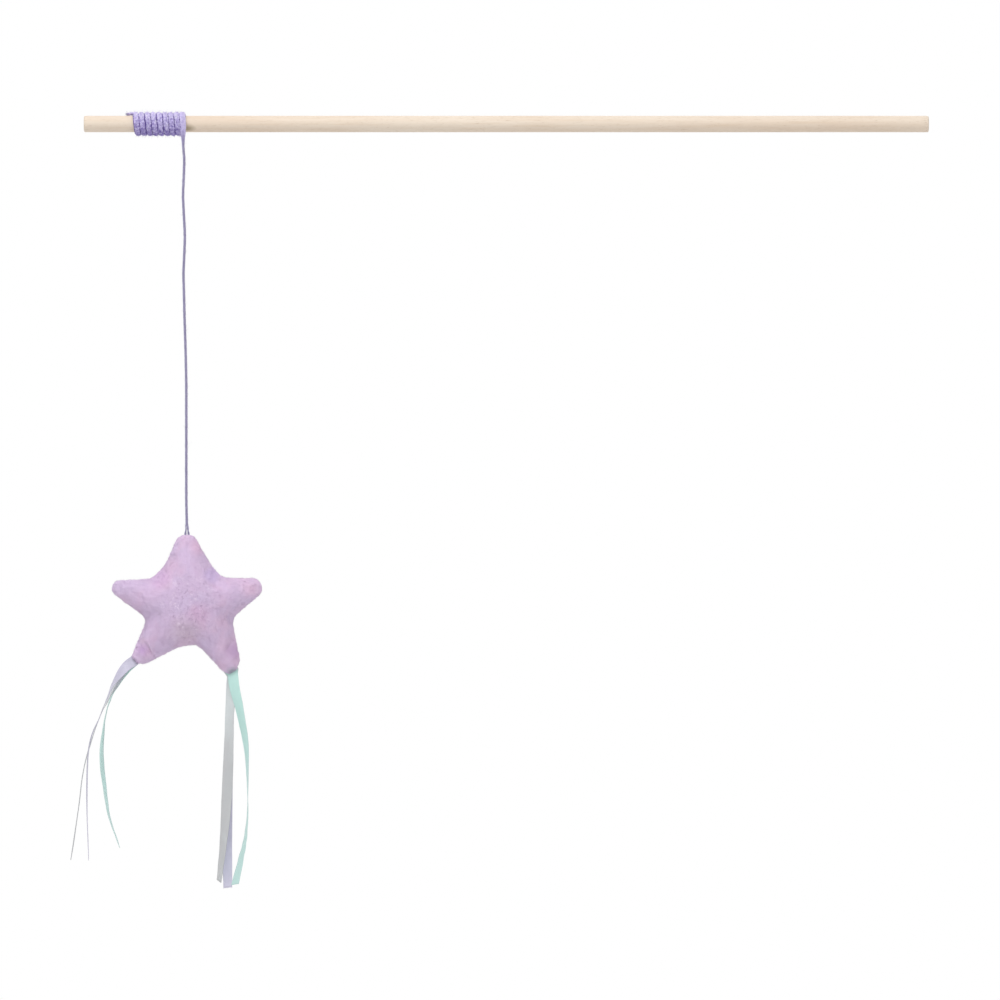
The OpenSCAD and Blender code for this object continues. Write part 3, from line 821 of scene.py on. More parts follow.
@dataclass
class YarnRoute:
    """The whole way of the yarn, from its cut tail round the dowel and down to the star."""

    wind_r: float = 4.93538
    start_x: float = -315.5875
    pitch: float = 2.75
    turns: float = 8.25
    tail: float = 2.4
    tail_bend: float = 1.61
    tail_droop: float = 0.08
    first_bend_z: float = -7.08538
    step: float = 0.42
    lift: float = 0.16
    waver: float = 0.32
    # Distance below the first bend, and how far the cord strays there in x and in y.
    stray: tuple[Place, ...] = (
        (0, 0, 0), (5, 0.3, 0), (10, 0.6, 0.1), (18, 0.3, 0.2), (27, -0.1, 0), (37, 0.4, -0.3),
        (46, 0.9, -0.2), (56, 0.5, 0.1), (64, 0.1, 0.2), (73, 0.4, 0), (86, 0.7, -0.3), (101, 1.2, -0.2),
        (116, 1.5, 0.1), (131, 1.5, 0.2), (152, 1.5, 0), (171, 1.5, 0), (180, 1.7, 0), (190, 1.9, 0))

    @property
    def end_x(self) -> float:
        """Where the last turn leaves the dowel."""
        return self.start_x + self.pitch * self.turns

    def wound(self) -> tuple[Rows, Rows]:
        """Gives the tail and the turns.

        Returns:
            The centreline and the direction away from the dowel.
        """
        bend, high = self.tail_bend, self.wind_r
        tail_x = self.start_x - bend
        tail = [(x, bend, high - self.tail_droop * (tail_x - x) ** 2)
                for x in np.linspace(tail_x - self.tail, tail_x, 7)[:-1]]
        tail += [(tail_x + bend * math.sin(q), bend * math.cos(q), high)
                 for q in np.linspace(0, math.pi / 2, 7)[:-1]]
        count = int(self.turns * FULL_TURN * self.wind_r / self.step)
        i = np.arange(count + 1)
        done = self.turns * i / count
        q = np.radians(90 - 360 * done)
        out = np.stack([np.zeros(len(q)), -np.cos(q), np.sin(q)], -1)
        turns = out * (self.wind_r + np.maximum(0.0, self.lift * ripple(i, 0.05, 3.1)))[:, None]
        calm = np.minimum(1, np.minimum(i / 30, (count - i) / 30))
        turns[:, 0] = self.start_x + self.pitch * done + self.waver * ripple(i, 0.045, 9.7) * calm
        return np.concatenate([tail, turns]), np.concatenate([[(0, 0, 1)] * len(tail), out])

    def free(self, top_z: float, low_z: float) -> tuple[Rows, Rows]:
        """Gives a stretch of the hanging cord.

        Args:
            top_z: its upper end.
            low_z: its lower end.

        Returns:
            The centreline and the direction to the front.
        """
        z = np.linspace(top_z, low_z, max(4, int((top_z - low_z) / self.step) + 1))
        table = np.array(self.stray, float)
        drops = self.first_bend_z - z
        x, y = (np.mean([np.interp(drops + d, table[:, 0], table[:, k]) for d in np.linspace(-3, 3, 7)], axis=0)
                for k in (1, 2))
        settle = smooth_step(0.0, 10.0, drops)
        line = np.stack([self.end_x + x * settle, -self.wind_r + y * settle, z], -1)
        return line, np.tile([0.0, -1.0, 0.0], (len(z), 1))


@dataclass
class Yarn:
    """A cabled yarn: four plies of three strands, full where it is wound and thin where it hangs."""

    plies: int = 4
    ply_pitch: float = 5.0
    strand_pitch: float = 4.4
    strands: int = 3
    sides: int = 6
    wound_width: float = 0.79
    wound_height: float = 0.28
    wound_ply: float = 0.26
    lumps: float = 0.4
    strand_overlap: float = 1.13
    fibre_radius: Span = (0.024, 0.05)
    # Half the heart's height, how far it is sunk, and half its width.
    heart: Numbers = (0.46, 0.24, 1.6)
    hung_offset: float = 0.36
    hung_ply: float = 0.155
    pair_offset: float = 0.25
    pair_gap: float = 0.76

    def lay(self, pot: MeshPot, line: Rows, out: Rows, start: float, loose: Rows, parting: Rows | float = 0.0,
            combed: Rows | float = 0.0) -> None:
        """Lays all strands of all plies along a line.

        Args:
            pot: where the surfaces go.
            line: the yarn's centreline.
            out: the direction away from what it lies on.
            start: distance along the whole yarn at the line's start, which keeps the twist running on.
            loose: 1 where the yarn is wound and full, 0 where it hangs.
            parting: 1 where the plies have parted into two pairs that run side by side.
            combed: 1 where the yarn lies wide and smooth.
        """
        along = start + travel(line)
        _, high, wide = bearings(line, out)
        uneven = 1 + 0.1 * ripple(along, 0.35, 2.2)
        lumpy = self.lumps * np.clip(0.55 + 1.5 * ripple(along, 0.03, 6.6), 0.15, 1.0) * (1 - 0.85 * combed)
        turn = FULL_TURN * along / self.ply_pitch + 1.2 * ripple(along, 0.06, 5.5)
        for ply in range(self.plies):
            q, pair = turn + FULL_TURN * ply / self.plies, turn + math.pi * (ply % 2)
            side = -1 if ply < self.plies // 2 else 1
            rise = (loose * self.wound_height + (1 - loose) * self.hung_offset) * np.cos(q)
            broad = self.wound_width * (1 + 0.25 * combed)
            reach = (loose * broad + (1 - loose) * self.hung_offset) * np.sin(q)
            rise = rise * (1 - parting) + self.pair_offset * np.cos(pair) * parting
            reach = reach * (1 - parting) + (side * self.pair_gap + self.pair_offset * np.sin(pair)) * parting
            centre = line + high * rise[:, None] + wide * reach[:, None]
            _, up, aside = bearings(centre, high)
            offset = (loose * self.wound_ply + (1 - loose) * (self.hung_ply + 0.01 * parting)) * uneven
            offset = offset * (1 + lumpy * 2 * ripple(along, 1.15, 8.1 + 3.3 * ply) * loose)
            for strand in range(self.strands):
                q = -FULL_TURN * along / self.strand_pitch + FULL_TURN * strand / self.strands + ply
                path = centre + up * (offset * np.cos(q))[:, None] + aside * (offset * np.sin(q))[:, None]
                pot.tube(path, up, offset * self.strand_overlap, self.sides, 1 - loose,
                         along + 31.0 * strand + 17.0 * ply)

    def lay_heart(self, pot: MeshPot, line: Rows, out: Rows) -> None:
        """Lays the flattened heart of the wound yarn, which closes the gaps between the turns and shows their painted
        shade.

        Args:
            pot: where the surface goes.
            line: the yarn's centreline.
            out: the direction away from what it lies on.
        """
        keep = slice(12, len(line) - 8)
        _, high, wide = (rows[keep] for rows in bearings(line, out))
        turn = np.linspace(0, FULL_TURN, 10, endpoint=False)
        half_high, sunk, half_wide = self.heart
        oval = np.stack([half_high * np.cos(turn) - sunk, half_wide * np.sin(turn)], -1)
        # The mark -1 gives the heart the painted shade of the gaps.
        pot.sweep(line[keep], high, wide, np.repeat(oval[None], len(high), 0), -1.0)

    def fuzz(self, pot: MeshPot, line: Rows, out: Rows, count: int, body: float, length: Span, mark: float,
             seed: int, inner: float = -1.0) -> None:
        """Scatters loose fibres that stand off the yarn.

        Args:
            pot: where the fibres go.
            line: the yarn's centreline.
            out: the direction away from what it lies on.
            count: how many fibres.
            body: the yarn's radius.
            length: shortest and longest fibre.
            mark: 0 for loose yarn, 1 for stretched yarn.
            seed: picks the places.
            inner: lowest share of the outward direction that a fibre may start at.
        """
        rng = np.random.default_rng(seed)
        heading = unit(np.gradient(line, axis=0))
        wide = np.cross(heading, out)
        t = np.linspace(0, 1, 5)[:, None]
        for _ in range(count):
            i = int(rng.integers(2, len(line) - 2))
            q = rng.uniform(0, FULL_TURN)
            while math.cos(q) < inner:
                q = rng.uniform(0, FULL_TURN)
            away = out[i] * math.cos(q) + wide[i] * math.sin(q)
            run = heading[i] * rng.choice([-1, 1]) * rng.uniform(0.6, 1.6) + wide[i] * rng.uniform(-0.5, 0.5)
            size = rng.uniform(*length)
            lift, curl = rng.uniform(0.15, 0.75), rng.uniform(-0.6, 0.6)
            path = line[i] + away * body * 0.8 + unit(run) * size * t + away * size * lift * (t - 0.35 * t * t)
            path = path + np.cross(unit(run), away) * size * curl * t * t
            pot.fibre(path, rng.uniform(*self.fibre_radius), mark)


@dataclass
class Cord:
    """The wound yarn and its hanging stretches."""

    route: YarnRoute = field(default_factory=YarnRoute)
    yarn: Yarn = field(default_factory=Yarn)
    diameter: float = 1.5
    cuts: Numbers = (-13.0, -45.0, -92.0, -131.0, -168.0, -199.0)
    bends: Numbers = (-19.0854, -69.7704, -110.963, -150.365, -186.185)
    half_bend: float = 4.2
    wound_fibres: int = 900
    first_run_fibres: int = 26
    fibres_per_mm: float = 1.5
    frayed_fibres: int = 90
    splay: Span = (-188.0, -194.6)
    names: tuple[str, ...] = ("neck", "upper", "middle", "lower", "lead")
    bodies: tuple[str, ...] = ("cord_neck", "cord_upper", "cord_middle", "cord_lower", "cord_lead", "star")

    def build(self) -> None:
        """Makes the winding and then each hanging stretch from the top down."""
        start = self.build_winding()
        for i in range(len(self.bends)):
            start = self.build_stretch(i, start)
        self.build_knot()

    def build_winding(self) -> float:
        """Makes the winding with its cut tail and the first run of cord.

        Returns:
            The distance along the yarn at the winding's lower end.
        """
        line, out = self.route.wound()
        down, front = self.route.free(-0.35, self.cuts[0])
        whole, away = np.concatenate([line, down]), np.concatenate([out, front])
        pot = MeshPot()
        run = np.concatenate([np.zeros(len(line)), -down[:, 2]])
        along = travel(whole)
        loose = (1 - smooth_step(1.5, 11.0, run)) * (0.55 + 0.45 * smooth_step(0.0, 3.0, along))
        combed = smooth_step(-30.0, -12.0, along - along[len(line)])
        self.yarn.lay(pot, whole, away, 0.0, loose, combed=combed)
        self.yarn.lay_heart(pot, line, out)
        self.yarn.fuzz(pot, line, out, self.wound_fibres, 0.95, (0.8, 2.6), 0.0, 11, inner=0.15)
        self.yarn.fuzz(pot, down, front, self.first_run_fibres, 0.7, (0.8, 2.0), 0.8, 12)
        self.fray(pot, line[0])
        piece = pot.finish("yarn_winding")
        dress(piece, YARN)
        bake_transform(piece)
        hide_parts("cord_winding")
        return float(along[-1])

    def fray(self, pot: MeshPot, end: Rows) -> None:
        """Opens the cut tail into a small brush of fibres.

        Args:
            pot: where the fibres go.
            end: the tail's end.
        """
        rng = np.random.default_rng(5)
        t = np.linspace(0, 1, 4)[:, None]
        for _ in range(self.frayed_fibres):
            root = end + np.array([rng.uniform(0.0, 0.5), *rng.normal(0, 0.42, 2)])
            aim = np.array([-1.0, *(root[1:] - end[1:]) * 0.7 + rng.normal(0, 0.2, 2)])
            size = rng.uniform(0.5, 1.5)
            path = root + unit(aim) * size * t + np.array([0, *rng.normal(0, 0.15, 2)]) * t * t
            pot.fibre(path, 0.035, 0.9)

    def build_stretch(self, index: int, start: float) -> float:
        """Makes one hanging stretch.

        Args:
            index: which stretch, from the top.
            start: distance along the yarn at its upper end.

        Returns:
            The distance along the yarn at its lower end.
        """
        top, low, bend = self.cuts[index], self.cuts[index + 1], self.bends[index]
        line, out = self.route.free(top, low)
        pot = MeshPot()
        parting = smooth_step(-self.splay[0], -self.splay[1], -line[:, 2])
        self.yarn.lay(pot, line, out, start, np.zeros(len(line)), parting)
        self.yarn.fuzz(pot, line, out, int((top - low) * self.fibres_per_mm), 0.62, (0.7, 2.2), 1.0, 20 + index)
        upper, lower = self.bodies[index], self.bodies[index + 1]
        piece = pot.finish(self.names[index] + "_cord_run")
        dress(piece, YARN)
        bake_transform(piece)
        nodes = {0: ("cord_neck",), 4: ("cord_lead", "cord_loop")}.get(index, (upper,))
        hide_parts(*nodes)
        length = float(travel(line)[-1])
        return start + length

    def build_knot(self) -> None:
        """Makes the knot that holds the cord inside the star."""
        low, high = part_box("loop_knot")
        turn = np.linspace(0, FULL_TURN, 91)
        ring = 1.15 + 0.5 * np.cos(3 * turn)
        line = np.array((low + high) / 2) / MM + np.stack(
            [ring * np.cos(2 * turn), ring * np.sin(2 * turn) * 0.8, 0.75 * np.sin(3 * turn)], -1)
        pot = MeshPot()
        pot.tube(line, np.tile([0.0, 0.0, 1.0], (len(line), 1)), np.full(len(line), 0.62), 10, 1.0)
        piece = pot.finish("cord_knot")
        dress(piece, YARN)
        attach(piece, "star")
        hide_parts("loop_knot")


# ---- Star ----


@dataclass(frozen=True)
class StarPoint:
    """One point of the star: its direction and length, and its widths on each side, anticlockwise first."""

    turn: float
    length: float
    roots: Span
    tips: Span

    @property
    def heading(self) -> Rows:
        """The direction of the point, seen from the front."""
        return np.array([math.cos(math.radians(self.turn)), 0.0, math.sin(math.radians(self.turn))])

    @property
    def across(self) -> Rows:
        """The direction along the seam at the end of the point."""
        return np.array([-math.sin(math.radians(self.turn)), 0.0, math.cos(math.radians(self.turn))])

    def reach(self, turns: Rows) -> Rows:
        """Gives how far this point reaches in each direction.

        Args:
            turns: directions in degrees.

        Returns:
            Distances from the star's middle.
        """
        gap = (turns - self.turn + 180) % 360 - 180
        root, tip = (np.where(gap > 0, *sides) for sides in (self.roots, self.tips))
        gap = np.abs(gap)
        sine, cosine = np.sin(np.radians(gap)), np.cos(np.radians(gap))
        core = self.length - tip
        inside = tip ** 2 - (core * sine) ** 2
        flank = root / (sine + (root - tip) / core * cosine)
        nose = core * cosine + np.sqrt(np.maximum(inside, 0))
        return np.where(gap >= 90, 0.0, np.where(inside < 0, flank, np.minimum(nose, flank)))


@dataclass(frozen=True)
class Crease:
    """A fold pressed into the plush between two places seen from the front."""

    start: Span
    end: Span
    depth: float
    width: float

    def press(self, co: Rows, side: Rows) -> Rows:
        """Gives how deep the crease presses each point.

        Args:
            co: the plush's points.
            side: their distance behind the seam.

        Returns:
            Depths, below zero where the fabric beside the crease stands up.
        """
        flat = co[:, [0, 2]] - np.array(self.start)
        line = np.array(self.end) - np.array(self.start)
        t = np.clip(flat @ line / (line @ line), 0, 1)
        far = np.linalg.norm(flat - t[:, None] * line, axis=1)
        fade = np.sin(np.pi * np.clip(t * 0.9 + 0.05, 0, 1)) ** 0.6
        dip = np.exp(-(far / self.width) ** 2) - 0.45 * np.exp(-((far - 2 * self.width) / self.width) ** 2)
        return self.depth * dip * fade * smooth_step(0.5, -2.0, side)


@dataclass
class StarToy:
    """The stuffed star: inflated plush with a sunken seam, open mouths for the tails, pile and filling."""

    middle: Place = (-291.056, -4.93538, -228.885)
    top: StarPoint = StarPoint(90, 34.6, (18.3, 22.0), (6.9, 6.9))
    left_arm: StarPoint = StarPoint(164.2, 37, (15.9, 14.5), (4.1, 4.1))
    right_arm: StarPoint = StarPoint(16.3, 37, (13.8, 18.9), (5.15, 5.15))
    left_leg: StarPoint = StarPoint(225.3, 35.2, (15.4, 15.75), (5.9, 3.8))
    right_leg: StarPoint = StarPoint(305, 37.4, (21.2, 7.35), (8.97, 3.68))
    body_r: float = 19.6
    body_lift: float = 1.92
    web: float = 14.0
    depth: float = 22.0
    tip_depth_share: float = 0.45
    puff: float = 5.0
    start_share: float = 0.9
    grow: float = 10.0
    voxel: float = 1.1
    travel_cap: float = 2.2
    cloth_steps: int = 24
    seam_half: float = 0.9
    groove_depth: float = 0.5
    stitch_pitch: float = 2.9
    # Half width, gap and depth of the mouths in the top, the left leg and the right leg.
    mouth_sizes: tuple[Place, ...] = ((1.5, 0.75, 1.1), (2.9, 0.95, 2.4), (3.2, 0.95, 2.4))
    pile_count: int = 46000
    quick_pile_count: int = 8000
    pile_length: Span = (0.3, 0.62)
    pile_half: float = 0.085
    pile_root: float = 0.12
    filling_inset: float = 2.3
    filling_share: float = 0.97
    filling_voxel: float = 1.3
    creases: tuple[Crease, ...] = (
        Crease((-310.6, -245.8), (-307.2, -252.2), 0.75, 0.7), Crease((-317.2, -251.1), (-313.0, -255.3), 0.4, 0.45),
        Crease((-272.7, -260.4), (-267.7, -257.0), 0.35, 0.45), Crease((-306.0, -243.0), (-301.0, -247.0), 0.25, 1.4),
        Crease((-291.6, -196.5), (-291.0, -208.0), 0.3, 1.0), Crease((-309.5, -222.0), (-301.0, -219.0), 0.25, 1.4),
        Crease((-273.0, -220.0), (-281.0, -218.5), 0.25, 1.4), Crease((-269.0, -243.0), (-272.5, -252.0), 0.3, 1.6),
        Crease((-290.3, -245.6), (-290.0, -239.0), 0.25, 1.5))

    def outline(self, turns: Rows) -> Rows:
        """Gives the distance of the seam from the middle in each direction.

        Args:
            turns: directions in degrees.

        Returns:
            Distances in millimetres.
        """
        parts = [self.body_r + self.body_lift * np.sin(np.radians(turns))]
        parts += [p.reach(turns) for p in (self.right_arm, self.top, self.left_arm, self.left_leg, self.right_leg)]
        return self.body_r * sum((r / self.body_r) ** self.web for r in parts) ** (1 / self.web)

    def face_high(self, far: Rows) -> Rows:
        """Gives half the star's depth at a distance from its middle."""
        s = np.minimum(1, far / self.left_arm.length)
        return self.depth / 2 * (1 + (self.tip_depth_share - 1) * s * s * (3 - 2 * s))

    def shell(self, name: str, inset: float, fullness: float) -> Piece:
        """Makes a closed star-shaped skin.

        Args:
            name: the object's name.
            inset: how far it lies inside the outline.
            fullness: share of the full depth.

        Returns:
            The object.
        """
        turns = np.linspace(0, 360, 300, endpoint=False)
        edge, angle = self.outline(turns), np.radians(turns)
        shares = 1 - (1 - np.linspace(0, 1, 24)) ** 1.7
        rings = []
        for side, order in ((-1, shares[1:]), (1, shares[-2:0:-1])):
            for share in order:
                far = share * (edge - inset)
                high = (self.face_high(share * edge) * fullness - inset) * math.sqrt(1 - share ** self.puff)
                rings.append(np.stack([far * np.cos(angle), side * high, far * np.sin(angle)], -1))
        pole = self.depth / 2 * fullness - inset
        points = np.concatenate(rings + [np.array([[0, -pole, 0], [0, pole, 0]])]) + np.array(self.middle)
        n, m = len(turns), len(rings)
        around = [(j, (j + 1) % n) for j in range(n)]
        faces = [[i * n + j, i * n + k, (i + 1) * n + k, (i + 1) * n + j] for i in range(m - 1) for j, k in around]
        faces += [[m * n, k, j] for j, k in around]
        faces += [[m * n + 1, (m - 1) * n + j, (m - 1) * n + k] for j, k in around]
        piece = new_piece(name, points, faces)
        skin = bmesh.new()
        skin.from_mesh(piece.data)
        bmesh.ops.recalc_face_normals(skin, faces=skin.faces)
        skin.to_mesh(piece.data)
        skin.free()
        return piece

    def build(self) -> None:
        """Makes the plush, its pile and its filling."""
        plush = self.shell("star_plush", 0.0, self.start_share)
        self.inflate(plush)
        self.sculpt(plush)
        smoothen(plush)
        dress(plush, PLUSH)
        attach(plush, "star")
        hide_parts("star_front", "star_back")
        self.build_pile(plush)
        self.build_filling()

    def inflate(self, piece: Piece) -> None:
        """Swells the skin under pressure from inside, held along its seam, and subdivides it.

        Args:
            piece: the skin, changed in place.
        """
        centre = np.array(self.middle) * MM
        write(piece, (read(piece) - centre) * self.grow)
        apply_modifier(piece, "REMESH", mode="VOXEL", voxel_size=self.voxel * MM * self.grow)
        rest = read(piece)
        seam = piece.vertex_groups.new(name="seam")
        seam.add(np.nonzero(np.abs(rest[:, 1]) < self.seam_half * MM * self.grow)[0].tolist(), 1.0, "REPLACE")
        self.swell(piece)
        moved = read(piece) - rest
        size = np.linalg.norm(moved, axis=1, keepdims=True)
        cap = self.travel_cap * MM * self.grow
        LOG.info("plush swelled by up to %.2f mm", float(size.max()) / MM / self.grow)
        write(piece, rest + moved * np.minimum(1, cap / np.maximum(size, 1e-9)))
        weights = smooth_step(0.8, 3.5, np.abs(read(piece)[:, 1]) / MM / self.grow)
        soft = piece.vertex_groups.new(name="soft")
        for i, weight in enumerate(weights):
            soft.add([i], float(weight), "REPLACE")
        apply_modifier(piece, "SMOOTH", factor=0.5, iterations=8, vertex_group="soft")
        apply_modifier(piece, "SUBSURF", levels=2, render_levels=2)
        write(piece, read(piece) / self.grow + centre)
        LOG.info("plush has %d points", len(piece.data.vertices))

    def swell(self, piece: Piece) -> None:
        """Runs the cloth simulation and applies its result.

        Args:
            piece: the skin, ten times its size, with its seam group.
        """
        cloth = piece.modifiers.new("Cloth", "CLOTH")
        for key, value in {"quality": 6, "mass": 0.05, "tension_stiffness": 12, "compression_stiffness": 12,
                           "shear_stiffness": 4, "bending_stiffness": 0.15, "shrink_min": -0.05,
                           "use_pressure": True, "uniform_pressure_force": 6,
                           "vertex_group_mass": "seam"}.items():
            setattr(cloth.settings, key, value)
        cloth.settings.effector_weights.gravity = 0
        cloth.collision_settings.use_self_collision = False
        for step in range(1, self.cloth_steps + 1):
            bpy.context.scene.frame_set(step)
        only(piece)
        bpy.ops.object.modifier_apply(modifier="Cloth")
        bpy.context.scene.frame_set(1)

    def sculpt(self, piece: Piece) -> None:
        """Sinks the seam, opens the mouths, presses the creases and ruffles the pile.

        Args:
            piece: the plush, changed in place.
        """
        co, normals, middle = read(piece) / MM, read(piece, "normal"), np.array(self.middle)
        turns = np.linspace(0, 360, 1800, endpoint=False)
        edge, angle = self.outline(turns), np.radians(turns)
        rim = np.stack([edge * np.cos(angle), edge * np.sin(angle)], -1) + middle[[0, 2]]
        tree = kdtree.KDTree(len(rim))
        for i, p in enumerate(rim):
            tree.insert((p[0], p[1], 0), i)
        tree.balance()
        nearest = np.array([tree.find((p[0], p[2], 0))[1] for p in co])
        arc = travel(rim)[nearest]
        inward = unit(np.gradient(rim, axis=0))[nearest]
        inward = np.stack([-inward[:, 1], np.zeros(len(co)), inward[:, 0]], -1)
        side = co[:, 1] - middle[1]
        groove = np.exp(-(side / 0.5) ** 2)
        shift = inward * (self.groove_depth * groove)[:, None]
        pucker = np.exp(-(side / 2.6) ** 2) * (1 - groove)
        wave = np.sin(FULL_TURN * arc / self.stitch_pitch + 2.5 * ripple(arc, 0.15, 1, 1))
        shift += normals * (0.06 * pucker * wave + 0.16 * pucker)[:, None]
        shift += self.mouths(co, side)
        for crease in self.creases:
            shift -= normals * crease.press(co, side)[:, None]
        ruffle = 0.07 * grain(co, 0.45) + 0.04 * grain(co, 1.1, (9, 2, 4)) + 0.025 * grain(co, 2.9)
        shift += normals * (ruffle * (1 - 0.6 * groove))[:, None]
        write(piece, (co + shift) * MM)

    def mouths(self, co: Rows, side: Rows) -> Rows:
        """Opens the seam where the cord and the tails go in.

        Args:
            co: the plush's points.
            side: their distance behind the seam.

        Returns:
            How far each point moves.
        """
        shift = np.zeros_like(co)
        for point, (half, gap, deep) in zip((self.top, self.left_leg, self.right_leg), self.mouth_sizes):
            tip = np.array(self.middle) + point.heading * point.length
            off, in_front = (co - tip) @ point.across, (co - tip) @ point.heading
            near = 1 - smooth_step(half - 0.4, half + 0.5, np.abs(off))
            near = near * (1 - smooth_step(2.5, 4.5, -in_front))
            shift -= point.heading * (deep * near * np.exp(-(side / gap) ** 4))[:, None]
            lip = np.exp(-((np.abs(side) - gap * 1.9) / 0.9) ** 2) * near
            shift += point.heading * (0.35 * lip)[:, None]
            if point is not self.top:
                square = np.clip(-in_front, 0, 0.8) * near * smooth_step(-2.4, -1.0, in_front)
                shift += point.heading * square[:, None]
        return shift

    def build_pile(self, plush: Piece) -> None:
        """Stands short fibres on the plush, brushed downwards in soft swirls.

        Args:
            plush: the sculpted plush.
        """
        mesh = plush.data
        mesh.calc_loop_triangles()
        rng = np.random.default_rng(3)
        corners = np.empty(len(mesh.loop_triangles) * 3, int)
        mesh.loop_triangles.foreach_get("vertices", corners)
        triangles = (read(plush) / MM)[corners.reshape(-1, 3)]
        cross = np.cross(triangles[:, 1] - triangles[:, 0], triangles[:, 2] - triangles[:, 0])
        area = np.linalg.norm(cross, axis=1)
        count = self.pile_count
        pick = rng.choice(len(area), count, p=area / area.sum())
        u, v = rng.random((2, count, 1))
        flip = (u + v) > 1
        u, v = np.where(flip, 1 - u, u), np.where(flip, 1 - v, v)
        t = triangles[pick]
        root = t[:, 0] + u * (t[:, 1] - t[:, 0]) + v * (t[:, 2] - t[:, 0])
        normal = unit(cross[pick])
        swirl = 2.2 * grain(root, 0.09) * math.pi
        fall = np.stack([np.sin(swirl) * 0.9, rng.normal(0, 0.3, count), -np.cos(swirl)], -1)
        fall -= (fall * normal).sum(1, keepdims=True) * normal
        lean = unit(normal + 1.3 * fall + rng.normal(0, 0.2, (count, 3)))
        length = rng.uniform(*self.pile_length, (count, 1))
        across = unit(np.cross(lean, rng.normal(0, 1, (count, 3))))
        beside = np.cross(lean, across)
        rows = [root - normal * self.pile_root + self.pile_half * (across * math.cos(a) + beside * math.sin(a))
                for a in np.radians([0, 120, 240])]
        points = np.stack(rows + [root + lean * length], 1).reshape(-1, 3)
        first = np.arange(count)[:, None] * 4
        faces = np.concatenate([first + np.array(f) for f in ([0, 1, 3], [1, 2, 3], [2, 0, 3], [0, 2, 1])], 0)
        pile = new_piece("star_pile", points, faces.tolist())
        dress(pile, PLUSH)
        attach(pile, "star")

    def build_filling(self) -> None:
        """Makes the lumpy fibre filling inside the plush."""
        piece = self.shell("star_filling", self.filling_inset, self.filling_share)
        apply_modifier(piece, "REMESH", mode="VOXEL", voxel_size=self.filling_voxel * MM)
        co = read(piece)
        lump = np.array([0.45 * noise.noise(Vector(p) / MM * 0.35) - 0.2 for p in co])
        write(piece, co + read(piece, "normal") * lump[:, None] * MM)
        smoothen(piece)
        dress(piece, FILLING)
        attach(piece, "star")
        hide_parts("fill_body", "fill_top", "fill_left_arm", "fill_right_arm", "fill_left_leg",
                    "fill_right_leg")


# ---- Ribbons ----


